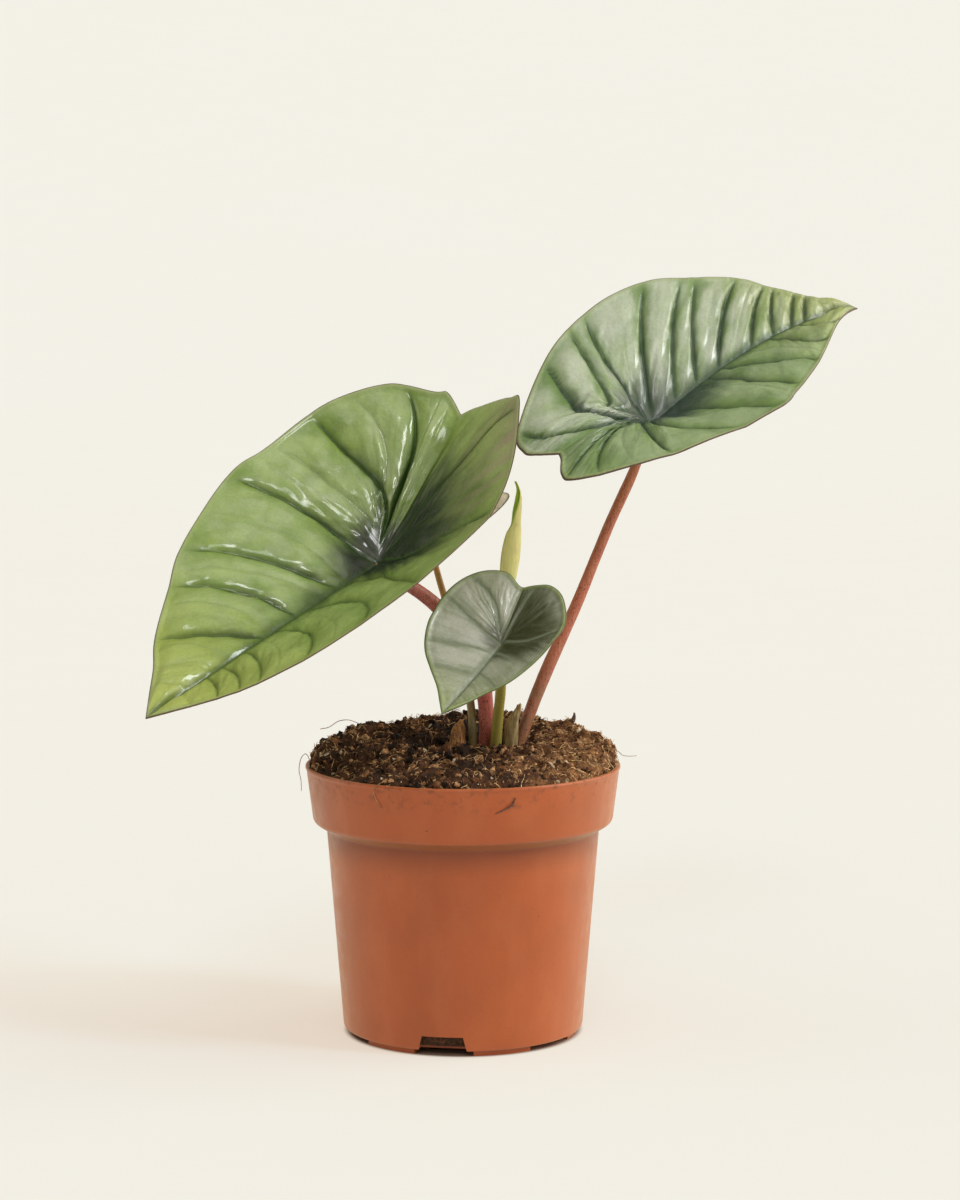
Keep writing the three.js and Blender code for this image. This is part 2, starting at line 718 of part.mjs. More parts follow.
/** Section of the rolled leaf: a spiral from the free outer edge inwards. */
function rollSection({ at, radius }) {
  const thickness = Math.min(ROLL.thickness, radius * 0.36);
  const pitch = Math.min(ROLL.thickness + 0.4, radius * 0.54);
  const section = { outer: [], inner: [] };
  for (let i = 0; i < ROLL.points; i += 1) {
    const share = i / (ROLL.points - 1);
    const angle = ROLL.seam + share * ROLL.turns * 360;
    const reach = radius - pitch * share * ROLL.turns;
    section.outer.push(around(at, reach, angle));
    section.inner.push(around(at, reach - thickness, angle));
  }
  return section;
}

/** Section of the sheath: an arc open towards the petiole. */
function sheathSection({ at, radius, from, to }) {
  const section = { outer: [], inner: [] };
  for (let i = 0; i < SHEATH.points; i += 1) {
    const angle = THREE.MathUtils.lerp(from, to, i / (SHEATH.points - 1));
    section.outer.push(around(at, radius, angle));
    section.inner.push(around(at, radius - SHEATH.thickness, angle));
  }
  return section;
}

/** A named mesh with a colour and a roughness. */
function piece(name, geometry, color, roughness = 0.55) {
  const mesh = new THREE.Mesh(geometry, new THREE.MeshStandardMaterial({ color, roughness, metalness: 0 }));
  mesh.name = name;
  return mesh;
}

const plant = new THREE.Group();
plant.add(piece('pot', potGeometry(), 0xb5623c, 0.4));
for (const petiole of Object.values(PETIOLES)) {
  petiole.path = petiolePath(petiole);
}
plant.add(piece('soil', peatGeometry(), 0x3a2418, 0.95));
plant.add(piece('rhizome', rhizomeGeometry(), 0x6d4c33, 0.85));
plant.add(piece('blade_left', bladeGeometry(LEFT_LEAF), 0x5f7c37, 0.35));
plant.add(piece('blade_right', bladeGeometry(RIGHT_LEAF), 0x76875a, 0.4));
plant.add(piece('blade_small', bladeGeometry(SMALL_LEAF), 0x8a9683, 0.45));
plant.add(piece('blade_back', bladeGeometry(BACK_LEAF), 0x9a9a7c, 0.5));
for (const [name, { path, radii, colour }] of Object.entries(PETIOLES)) {
  plant.add(piece(name, stalk(path, radii), colour, 0.5));
}
plant.add(piece('rolled_leaf', bentSheet(ROLL.stations.map(rollSection)), 0xb8bf63, 0.5));
plant.add(piece('rolled_leaf_stalk', stalk(ROLL_STALK.path, ROLL_STALK.radii), 0x9fa24f, 0.5));
plant.add(piece('sheath', bentSheet(SHEATH.stations.map(sheathSection)), 0x8b7a4b, 0.8));
plant.add(piece('old_stub', stalk(STUB.path, STUB.radii, 9, 6), 0x8f5a2c, 0.85));

export default plant;
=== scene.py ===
"""Dresses the potted alocasia: finer blades, stalks, peat and pot, with light and a camera.

Sizes are in millimetres, +Z up, from the middle of the pot's foot plane. The meshes are written in metres.
"""

import functools
import logging
import math
from dataclasses import dataclass
from enum import Enum

import bpy
import numpy as np
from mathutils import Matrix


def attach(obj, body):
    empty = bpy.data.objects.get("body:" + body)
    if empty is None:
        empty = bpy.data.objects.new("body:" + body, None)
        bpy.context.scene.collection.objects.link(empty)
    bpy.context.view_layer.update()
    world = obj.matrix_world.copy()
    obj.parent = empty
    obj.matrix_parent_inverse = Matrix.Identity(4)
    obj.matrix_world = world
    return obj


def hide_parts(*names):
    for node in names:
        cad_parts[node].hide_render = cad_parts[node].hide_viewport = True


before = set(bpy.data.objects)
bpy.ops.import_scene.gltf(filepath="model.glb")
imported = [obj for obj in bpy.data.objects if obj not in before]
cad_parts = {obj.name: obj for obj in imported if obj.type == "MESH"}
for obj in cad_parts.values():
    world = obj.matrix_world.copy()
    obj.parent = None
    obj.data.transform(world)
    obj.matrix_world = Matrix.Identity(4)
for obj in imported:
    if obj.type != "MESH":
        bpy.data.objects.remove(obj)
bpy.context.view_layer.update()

Array = np.ndarray
Pair = tuple[float, float]
Triple = tuple[float, float, float]
Colour = Quad = tuple[float, float, float, float]
Socket = bpy.types.NodeSocket
Value = Socket | float
Paint = Socket | Colour
Material = bpy.types.Material
Piece = bpy.types.Object

MM = 0.001
BODY = "root"

# Angles in degrees past which an edge stays sharp
THIN_EDGE = 60.0
CRUMB_EDGE = 34.0
MOULDED_EDGE = 38.0

log = logging.getLogger("potted alocasia")


# Shared shapes and numbers


def paint(code: str) -> Colour:
    """Turns a screen colour into a linear one.

    Args:
        code: The colour as # and six hexadecimal digits.

    Returns:
        Red, green, blue and full opacity.
    """
    parts = [int(code[i:i + 2], 16) / 255 for i in (1, 3, 5)]
    red, green, blue = (p / 12.92 if p <= 0.04045 else ((p + 0.055) / 1.055) ** 2.4 for p in parts)
    return red, green, blue, 1.0


def smooth(low: float, high: float, value: Array) -> Array:
    """Eases values from 0 at one number to 1 at another."""
    share = np.clip((value - low) / (high - low), 0, 1)
    return share * share * (3 - 2 * share)


def dip(distance: Array, width: float) -> Array:
    """A round dip or ridge: 1 at no distance, and close to 0 past its half width."""
    return np.exp(-(distance / width) ** 2)


def hermite(start: Array, end: Array, leave: Array, arrive: Array, t: Array) -> Array:
    """Cubic between two points.

    Args:
        start: The first point.
        end: The second point.
        leave: Direction and speed at the first point.
        arrive: Direction and speed at the second point.
        t: Shares of the way from 0 to 1.

    Returns:
        The points at those shares.
    """
    cubic = 2 * start - 2 * end + leave + arrive
    square = 3 * end - 3 * start - 2 * leave - arrive
    return ((cubic * t + square) * t + leave) * t + start


def spline(corners: Array, place: Array) -> Array:
    """Points of a smooth curve through corners.

    Args:
        corners: One row for each corner.
        place: Places along the curve, 0 at the first corner and 1 more at each next one.

    Returns:
        A point for each place, in a last axis of its own.
    """
    last = len(corners) - 1
    place = np.clip(place, 0, last)
    i = np.minimum(np.floor(place).astype(int), last - 1)
    before, start = corners[np.maximum(i - 1, 0)], corners[i]
    end, after = corners[i + 1], corners[np.minimum(i + 2, last)]
    return hermite(start, end, (end - before) / 2, (after - start) / 2, (place - i)[..., None])


def route(corners: tuple[Triple, ...], count: int) -> Array:
    """Evenly spaced points on a smooth path that keeps close to its corners.

    Args:
        corners: The corners of the path.
        count: How many points to give.

    Returns:
        The points, one in a row.
    """
    given = np.array(corners, float)
    points = np.vstack([2 * given[0] - given[1], given, 2 * given[-1] - given[-2]])
    steps = np.linalg.norm(np.diff(points, axis=0), axis=1) ** 0.5
    t = np.linspace(0, 1, 24, endpoint=False)[:, None]
    fine = []
    for i in range(1, len(points) - 2):
        before, start, end, after = points[i - 1:i + 3]
        first, middle, last = steps[i - 1:i + 2]
        across = (end - start) / middle
        leave = middle * ((start - before) / first - (end - before) / (first + middle) + across)
        arrive = middle * (across - (after - start) / (middle + last) + (after - end) / last)
        fine.append(hermite(start, end, leave, arrive, t))
    dense = np.vstack([*fine, given[-1:]])
    run = np.concatenate([[0], np.cumsum(np.linalg.norm(np.diff(dense, axis=0), axis=1))])
    wanted = np.linspace(0, run[-1], count)
    return np.stack([np.interp(wanted, run, dense[:, axis]) for axis in range(3)], 1)


def cell_number(i: Array, j: Array, seed: float = 0.0) -> Array:
    """Gives each cell of a grid its own number from 0 to 1; the seed changes them all."""
    wave = np.sin(i * 127.1 + j * 311.7 + seed * 74.7) * 43758.5453
    return wave - np.floor(wave)


def lumps(x: Array, y: Array, seed: float = 0.0) -> Array:
    """Smooth lumps one unit apart.

    Args:
        x: Places across.
        y: Places along.
        seed: A number that changes the whole pattern.

    Returns:
        Heights from -1 to 1.
    """
    i, j = np.floor(x), np.floor(y)
    u, v = x - i, y - j
    u, v = u * u * (3 - 2 * u), v * v * (3 - 2 * v)
    low = cell_number(i, j, seed) * (1 - u) + cell_number(i + 1, j, seed) * u
    high = cell_number(i, j + 1, seed) * (1 - u) + cell_number(i + 1, j + 1, seed) * u
    return 2 * (low * (1 - v) + high * v) - 1


# Meshes


def grid_faces(columns: int, rows: int, closed: bool = False) -> Array:
    """Faces of a grid of points, counted row after row in each column.

    Args:
        columns: How many columns of points.
        rows: How many points in a column.
        closed: Whether the last column meets the first.

    Returns:
        Four point numbers for each face.
    """
    across = columns if closed else columns - 1
    column, row = np.meshgrid(np.arange(across), np.arange(rows - 1), indexing="ij")
    after = (column + 1) % columns
    corners = [column * rows + row, column * rows + row + 1, after * rows + row + 1, after * rows + row]
    return np.stack([c.ravel() for c in corners], 1)


def outward(points: Array, faces: list[tuple[int, ...]]) -> list[tuple[int, ...]]:
    """Turns the faces of a closed mesh so that they point out.

    Args:
        points: The mesh's points.
        faces: Its faces, all turned alike.

    Returns:
        The faces, reversed if the mesh's volume was negative.
    """
    volume = 0.0
    for face in faces:
        for i in range(1, len(face) - 1):
            a, b, c = points[face[0]], points[face[i]], points[face[i + 1]]
            volume += float(a @ np.cross(b, c))
    return faces if volume > 0 else [tuple(reversed(face)) for face in faces]


def sheet_faces(columns: int, rows: int) -> list[tuple[int, ...]]:
    """Faces of a sheet with two sides and a closed rim, the second side's points after the first's.

    Args:
        columns: How many columns of points a side has.
        rows: How many points a column has.

    Returns:
        The faces, all turned alike.
    """
    size = columns * rows
    side = grid_faces(columns, rows)
    loop = [
        *range(0, size, rows),
        *range(size - rows + 1, size),
        *range(size - rows - 1, 0, -rows),
        *range(rows - 2, 0, -1),
    ]
    rim = [(b, a, a + size, b + size) for a, b in zip(loop, [*loop[1:], loop[0]])]
    return [*map(tuple, side.tolist()), *map(tuple, (side[:, ::-1] + size).tolist()), *rim]


def turned_faces(columns: int, rows: int) -> list[tuple[int, ...]]:
    """Faces of a closed ring of columns whose first and last rows end in one point each.

    Args:
        columns: How many columns stand round the ring.
        rows: How many points a column has; the two end points follow the last column.

    Returns:
        The faces, all turned alike.
    """
    faces = [*map(tuple, grid_faces(columns, rows, closed=True).tolist())]
    first = columns * rows
    for i in range(columns):
        after = (i + 1) % columns
        faces.append((first, i * rows, after * rows))
        faces.append((first + 1, after * rows + rows - 1, i * rows + rows - 1))
    return faces


MARK_KINDS = {1: ("FLOAT", "value"), 3: ("FLOAT_VECTOR", "vector"), 4: ("FLOAT_COLOR", "color")}


@dataclass
class Mesh:
    """A mesh in the making.

    Attributes:
        points: Places in millimetres.
        faces: Point numbers of each face.
        marks: A row of numbers for each point, by name.
        finish_numbers: Which finish each face takes, or none for the first.
    """

    points: Array
    faces: list[tuple[int, ...]]
    marks: dict[str, Array] | None = None
    finish_numbers: Array | None = None

    def build(self, name: str, finishes: list[Material], sharp: float = 180.0) -> Piece:
        """Writes the mesh as an object at the origin.

        Args:
            name: The piece's name.
            finishes: Its materials.
            sharp: Angle in degrees past which an edge stays sharp.

        Returns:
            The object, linked to the scene.
        """
        mesh = bpy.data.meshes.new(name)
        mesh.from_pydata((self.points * MM).tolist(), [], self.faces)
        for label, values in (self.marks or {}).items():
            kind, field = MARK_KINDS[values.shape[1]]
            data = mesh.attributes.new(label, kind, "POINT").data
            data.foreach_set(field, values.astype(np.float32).ravel())
        for finish in finishes:
            mesh.materials.append(finish)
        if self.finish_numbers is not None:
            mesh.polygons.foreach_set("material_index", self.finish_numbers.astype(np.int32))
        mesh.shade_smooth()
        if sharp < 180.0:
            mesh.set_sharp_from_angle(angle=math.radians(sharp))
        mesh.validate()
        return stand(name, mesh)


def stand(name: str, data: bpy.types.ID) -> Piece:
    """Links a new object to the scene.

    Args:
        name: Its name.
        data: Its mesh, light or camera.

    Returns:
        The object.
    """
    piece = bpy.data.objects.new(name, data)
    bpy.context.scene.collection.objects.link(piece)
    return piece


def flatten(piece: Piece, name: str) -> Piece:
    """Turns an object with modifiers into one with a plain mesh.

    Args:
        piece: The object with live modifiers, which is removed.
        name: The new object's name.

    Returns:
        The plain object.
    """
    graph = bpy.context.evaluated_depsgraph_get()
    graph.update()
    mesh = bpy.data.meshes.new_from_object(piece.evaluated_get(graph))
    piece.modifiers.clear()
    bpy.data.objects.remove(piece)
    mesh.name = name
    return stand(name, mesh)


def present(piece: Piece, slot: str, *replaced: str) -> None:
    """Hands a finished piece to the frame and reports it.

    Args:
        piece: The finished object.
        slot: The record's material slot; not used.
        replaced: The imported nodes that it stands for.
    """
    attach(piece, BODY)
    if replaced:
        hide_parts(*replaced)
    nodes = ", ".join(replaced) or "nothing"
    log.info("%s: %d faces, stands for %s", piece.name, len(piece.data.polygons), nodes)


# Node trees


class Wiring:
    """Adds nodes to a node tree and wires them."""

    def __init__(self, tree: bpy.types.NodeTree) -> None:
        """Takes the node tree."""
        self.tree = tree

    def wire(self, value: object, socket: Socket) -> None:
        """Links a socket to another, or sets a constant on it.

        Args:
            value: The other socket, or the constant.
            socket: The socket that takes it.
        """
        if isinstance(value, Socket):
            self.tree.links.new(value, socket)
        else:
            socket.default_value = value

    def add(self, kind: str, wires: dict[str, object], **settings: str) -> bpy.types.NodeOutputs:
        """Adds a node.

        Args:
            kind: The node's type.
            wires: A socket or a constant for each input, by identifier.
            settings: The node's own options.

        Returns:
            The node's outputs.
        """
        node = self.tree.nodes.new(kind)
        for option, value in settings.items():
            setattr(node, option, value)
        sockets = {socket.identifier: socket for socket in node.inputs}
        for label, value in wires.items():
            self.wire(value, sockets[label])
        return node.outputs

    def math(self, operation: str, a: Value, b: Value) -> Socket:
        """One sum on two numbers."""
        return self.add("ShaderNodeMath", {"Value": a, "Value_001": b}, operation=operation)[0]

    def plus(self, a: Value, b: Value) -> Socket:
        """Two numbers added."""
        return self.math("ADD", a, b)

    def times(self, *numbers: Value) -> Socket:
        """Some numbers multiplied."""
        return functools.reduce(functools.partial(self.math, "MULTIPLY"), numbers)


class Tree(Wiring):
    """Writes one geometry node tree with named inputs."""

    def __init__(self, name: str, sizes: dict[str, str]) -> None:
        """Starts a tree with inputs for its geometry, its sizes, the seed and the finish.

        Args:
            name: The tree's name.
            sizes: The kind of number for each named size.
        """
        super().__init__(bpy.data.node_groups.new(name, "GeometryNodeTree"))
        sockets = self.tree.interface
        for way in ("INPUT", "OUTPUT"):
            sockets.new_socket("Geometry", in_out=way, socket_type="NodeSocketGeometry")
        self.identifiers = {
            label: sockets.new_socket(label, in_out="INPUT", socket_type="NodeSocket" + kind).identifier
            for label, kind in {**sizes, "Seed": "Int", "Finish": "Material"}.items()
        }
        self.inputs = self.tree.nodes.new("NodeGroupInput").outputs

    def chance(self, low: float | Triple, high: float | Triple, salt: int) -> Socket:
        """A random number or vector for each element, drawn with the tree's seed.

        Args:
            low: The least number, or the least parts.
            high: The greatest.
            salt: Added to the seed, so that draws differ.

        Returns:
            Its socket.
        """
        kind, tail, output = ("FLOAT", "_001", 1) if isinstance(low, float) else ("FLOAT_VECTOR", "", 0)
        wires = {"Min" + tail: low, "Max" + tail: high, "Seed": self.plus(self.inputs["Seed"], float(salt))}
        return self.add("FunctionNodeRandomValue", wires, data_type=kind)[output]

    def turn(self, low: Triple, high: Triple, salt: int) -> Socket:
        """A random turn for each element, between two triples of angles."""
        return self.add("FunctionNodeEulerToRotation", {"Euler": self.chance(low, high, salt)})[0]

    def stored(self, name: str) -> Socket:
        """A number stored on the points."""
        return self.add("GeometryNodeInputNamedAttribute", {"Name": name}, data_type="FLOAT")[0]

    def scaled(self, vector: Socket, scale: Value) -> Socket:
        """A vector times a number."""
        return self.add("ShaderNodeVectorMath", {"Vector": vector, "Scale": scale}, operation="SCALE")[0]

    def wander(self, fineness: Value, reach: Value) -> Socket:
        """A smooth random offset for each point, from its place.

        Args:
            fineness: Waves in a metre.
            reach: The offset's size in metres.

        Returns:
            The offset's socket.
        """
        place = self.add("GeometryNodeInputPosition", {})[0]
        colour = self.add("ShaderNodeTexNoise", {"Vector": place, "Scale": fineness, "Detail": 1.0})[1]
        wires = {"Vector": colour, "Vector_001": (-0.5, -0.5, -0.5)}
        return self.scaled(self.add("ShaderNodeVectorMath", wires, operation="ADD")[0], reach)

    def moved(self, geometry: Socket, offset: Socket) -> Socket:
        """Geometry with each point moved by an offset."""
        return self.add("GeometryNodeSetPosition", {"Geometry": geometry, "Offset": offset})[0]

    def strewn(self) -> bpy.types.NodeOutputs:
        """Points strewn over the surface, and the turn of each as the third output."""
        wires = {label: self.inputs[label] for label in ("Density", "Seed")}
        return self.add("GeometryNodeDistributePointsOnFaces", {"Mesh": self.inputs["Geometry"], **wires})

    def placed(self, points: Socket, piece: Socket, turn: Socket, scale: Socket, salt: int) -> Socket:
        """Copies of a piece on points, each with a random tone.

        Args:
            points: The points.
            piece: The piece.
            turn: The turn of each copy.
            scale: The scale of each copy.
            salt: Added to the seed for the tones.

        Returns:
            The copies' socket.
        """
        wires = {"Points": points, "Instance": piece, "Rotation": turn, "Scale": scale}
        copies = self.add("GeometryNodeInstanceOnPoints", wires)[0]
        wires = {"Geometry": copies, "Name": "tone", "Value": self.chance(0.0, 1.0, salt)}
        return self.add("GeometryNodeStoreNamedAttribute", wires, domain="INSTANCE", data_type="FLOAT")[0]

    def swept(self, lines: Socket, sides: Socket | int, girth: Socket) -> Socket:
        """Sweeps a round section along lines of points.

        Args:
            lines: The lines.
            sides: Corners of the section.
            girth: Its radius at each point in metres.

        Returns:
            The mesh's socket.
        """
        curves = self.add("GeometryNodeMeshToCurve", {"Mesh": lines})[0]
        section = self.add("GeometryNodeCurvePrimitiveCircle", {"Resolution": sides, "Radius": 1.0})[0]
        wires = {"Curve": curves, "Profile Curve": section, "Scale": girth, "Fill Caps": True}
        return self.add("GeometryNodeCurveToMesh", wires)[0]

    def end(self, geometry: Socket) -> "Tree":
        """Realizes the instances, sets the finish and closes the tree.

        Args:
            geometry: What the tree made.

        Returns:
            The tree itself.
        """
        whole = self.add("GeometryNodeRealizeInstances", {"Geometry": geometry})[0]
        wires = {"Geometry": whole, "Material": self.inputs["Finish"]}
        dressed = self.add("GeometryNodeSetMaterial", wires)[0]
        self.tree.links.new(dressed, self.tree.nodes.new("NodeGroupOutput").inputs["Geometry"])
        return self

    def grow(self, host: Piece, name: str, values: dict[str, object]) -> Piece:
        """Runs the tree on an object and keeps the result as a plain mesh.

        Args:
            host: The object that the tree starts from, which is removed.
            name: The result's name.
            values: A value for each named input.

        Returns:
            The result.
        """
        modifier = host.modifiers.new("grow", "NODES")
        modifier.node_group = self.tree
        for label, value in values.items():
            modifier[self.identifiers[label]] = value
        piece = flatten(host, name)
        piece.data.shade_smooth()
        return piece


def stalk_tree() -> Tree:
    """Sweeps round stalks, hairs and twigs along lines of points that hold a girth each.

    Returns:
        The tree.
    """
    tree = Tree("stalks along lines", {"Sides": "Int", "Unevenness": "Float", "Fineness": "Float"})
    swept = tree.swept(tree.inputs["Geometry"], tree.inputs["Sides"], tree.stored("girth"))
    return tree.end(tree.moved(swept, tree.wander(tree.inputs["Fineness"], tree.inputs["Unevenness"])))


def crumb_tree() -> Tree:
    """Strews lumpy crumbs over a surface.

    Returns:
        The tree.
    """
    tree = Tree("crumbs on a surface", {"Density": "Float", "Least": "Float", "Greatest": "Float"})
    least = tree.inputs["Least"]
    ball = tree.add("GeometryNodeMeshIcoSphere", {"Radius": 1.0, "Subdivisions": 2})[0]
    lump = tree.moved(ball, tree.wander(1.5, 2.3))
    spread = tree.math("SUBTRACT", tree.inputs["Greatest"], least)
    size = tree.plus(least, tree.times(spread, tree.math("POWER", tree.chance(0.0, 1.0, 1), 3.0)))
    turn = tree.turn((0.0,) * 3, (math.tau,) * 3, 2)
    scale = tree.scaled(tree.chance((0.45,) * 3, (1.35,) * 3, 3), size)
    return tree.end(tree.placed(tree.strewn()[0], lump, turn, scale, 4))


def fibre_tree() -> Tree:
    """Strews curly fibres over a surface.

    Returns:
        The tree.
    """
    joints = 8
    tree = Tree("fibres on a surface", dict.fromkeys(("Density", "Length", "Girth", "Curl"), "Float"))
    points, _, turn = tree.strewn()
    wires = {"Count": joints, "Start Location": (-0.5, 0.0, 0.0), "Offset": (1 / (joints - 1), 0.0, 0.0)}
    strand = tree.add("GeometryNodeMeshLine", wires)[0]
    wires = {"Rotation": turn, "Rotate By": tree.turn((-0.5, -0.5, 0.0), (0.5, 0.5, math.tau), 1)}
    lie = tree.add("FunctionNodeRotateRotation", wires, rotation_space="LOCAL")[0]
    length = tree.times(tree.inputs["Length"], tree.chance(0.35, 1.3, 2))
    strands = tree.placed(points, strand, lie, length, 3)
    loose = tree.add("GeometryNodeRealizeInstances", {"Geometry": strands})[0]
    girth = tree.times(tree.inputs["Girth"], tree.plus(tree.stored("tone"), 0.5))
    return tree.end(tree.swept(tree.moved(loose, tree.wander(170.0, tree.inputs["Curl"])), 3, girth))


# Finishes


class Board(Wiring):
    """Writes the node tree of one finish."""

    def __init__(self, name: str) -> None:
        """Starts a finish of this name with one principled shader."""
        self.material = bpy.data.materials.new(name)
        self.material.use_nodes = True
        super().__init__(self.material.node_tree)
        self.here = self.add("ShaderNodeTexCoord", {})["Object"]

    def stretched(self, size: float, stretch: Triple) -> Socket:
        """Object coordinates in sizes of a pattern, in millimetres and stretched along each axis."""
        scale = tuple(1 / (size * MM * part) for part in stretch)
        return self.add("ShaderNodeMapping", {"Vector": self.here, "Scale": scale})[0]

    def noise(self, size: float, detail: float = 2.0, stretch: Triple = (1, 1, 1)) -> Socket:
        """Cloudy noise around 0.5, its clouds of this size, with some finer layers."""
        wires = {"Vector": self.stretched(size, stretch), "Scale": 1.0, "Detail": detail}
        return self.add("ShaderNodeTexNoise", wires)[0]

    def cells(self, size: float, stretch: Triple = (1, 1, 1)) -> Socket:
        """Distance from the nearest of many scattered points, in their spacing."""
        return self.add("ShaderNodeTexVoronoi", {"Vector": self.stretched(size, stretch), "Scale": 1.0})[0]

    def woven(self, across: float, along: float, detail: float = 2.0) -> Socket:
        """Streaks that follow the veins of a blade.

        Args:
            across: Width of a streak in millimetres.
            along: Length of a streak in millimetres.
            detail: How many finer layers it has.

        Returns:
            A number around 0.5.
        """
        weft = self.add("ShaderNodeAttribute", {}, attribute_name="weft")[1]
        place = self.add("ShaderNodeMapping", {"Vector": weft, "Scale": (1 / across, 1 / along, 1.0)})[0]
        return self.add("ShaderNodeTexNoise", {"Vector": place, "Scale": 1.0, "Detail": detail})[0]

    def marks(self, name: str) -> tuple[Socket, ...]:
        """The four channels of a colour stored on the piece."""
        colour, _, _, fourth = self.add("ShaderNodeAttribute", {}, attribute_name=name)
        return *self.add("ShaderNodeSeparateColor", {"Color": colour}), fourth

    def mark(self, name: str) -> Socket:
        """A number stored on the piece."""
        return self.add("ShaderNodeAttribute", {}, attribute_name=name)[2]

    def from_axis(self) -> Socket:
        """The distance from the pot's axis in metres."""
        flat = self.add("ShaderNodeMapping", {"Vector": self.here, "Scale": (1.0, 1.0, 0.0)})[0]
        return self.add("ShaderNodeVectorMath", {"Vector": flat}, operation="LENGTH")[1]

    def ease(self, value: Socket, low: float, high: float, start: float = 0.0, end: float = 1.0) -> Socket:
        """Eases a number from start at low to end at high, and keeps it between them."""
        wires = {"Value": value, "From Min": low, "From Max": high, "To Min": start, "To Max": end}
        return self.add("ShaderNodeMapRange", wires, interpolation_type="SMOOTHSTEP")[0]

    def drift(self, size: float, low: float, high: float, detail: float = 2.0,
              stretch: Triple = (1, 1, 1)) -> Socket:
        """A number that drifts between two, in clouds of this size."""
        return self.ease(self.noise(size, detail, stretch), 0.3, 0.7, low, high)

    def mix(self, share: Value, under: Paint, over: Paint, mode: str = "MIX") -> Socket:
        """A share of one colour over another."""
        wires = {"Factor_Float": share, "A_Color": under, "B_Color": over}
        return self.add("ShaderNodeMix", wires, data_type="RGBA", blend_type=mode)[2]

    def lay(self, under: Paint, code: str, share: Socket, *span: float) -> Socket:
        """A share of a screen colour over another, eased over a span where one is given."""
        return self.mix(self.ease(share, *span) if span else share, under, paint(code))

    def mottled(self, colour: Paint, size: float, strength: float,
                stretch: Triple = (1, 1, 1)) -> Socket:
        """A colour that drifts lighter and darker by this share."""
        return self.mix(1.0, colour, self.drift(size, 1 - strength, 1 + strength, 3.0, stretch), "MULTIPLY")

    def bump(self, height: Socket, depth: float, under: Socket | None = None) -> Socket:
        """Relief too fine for the mesh.

        Args:
            height: The relief, from 0 to 1.
            depth: Its height in millimetres.
            under: Coarser relief that it lies on.

        Returns:
            The normal's socket.
        """
        wires = {"Height": height, "Strength": 1.0, "Distance": depth * MM}
        if under is not None:
            wires["Normal"] = under
        return self.add("ShaderNodeBump", wires)[0]

    def finish(self, colour: Socket, roughness: Socket, normal: Socket,
               **others: Value | Colour) -> Material:
        """Closes the finish.

        Args:
            colour: The base colour.
            roughness: The roughness.
            normal: The relief.
            others: Sockets or constants for the shader's other inputs, with _ for a space.

        Returns:
            The material.
        """
        inputs = self.tree.nodes["Principled BSDF"].inputs
        given = {"Base_Color": colour, "Roughness": roughness, "Normal": normal, **others}
        for label, value in given.items():
            self.wire(value, inputs[label.replace("_", " ")])
        return self.material


@dataclass(frozen=True)
class Finish:
    """What every finish has.

    Attributes:
        name: The material's name.
    """

    name: str


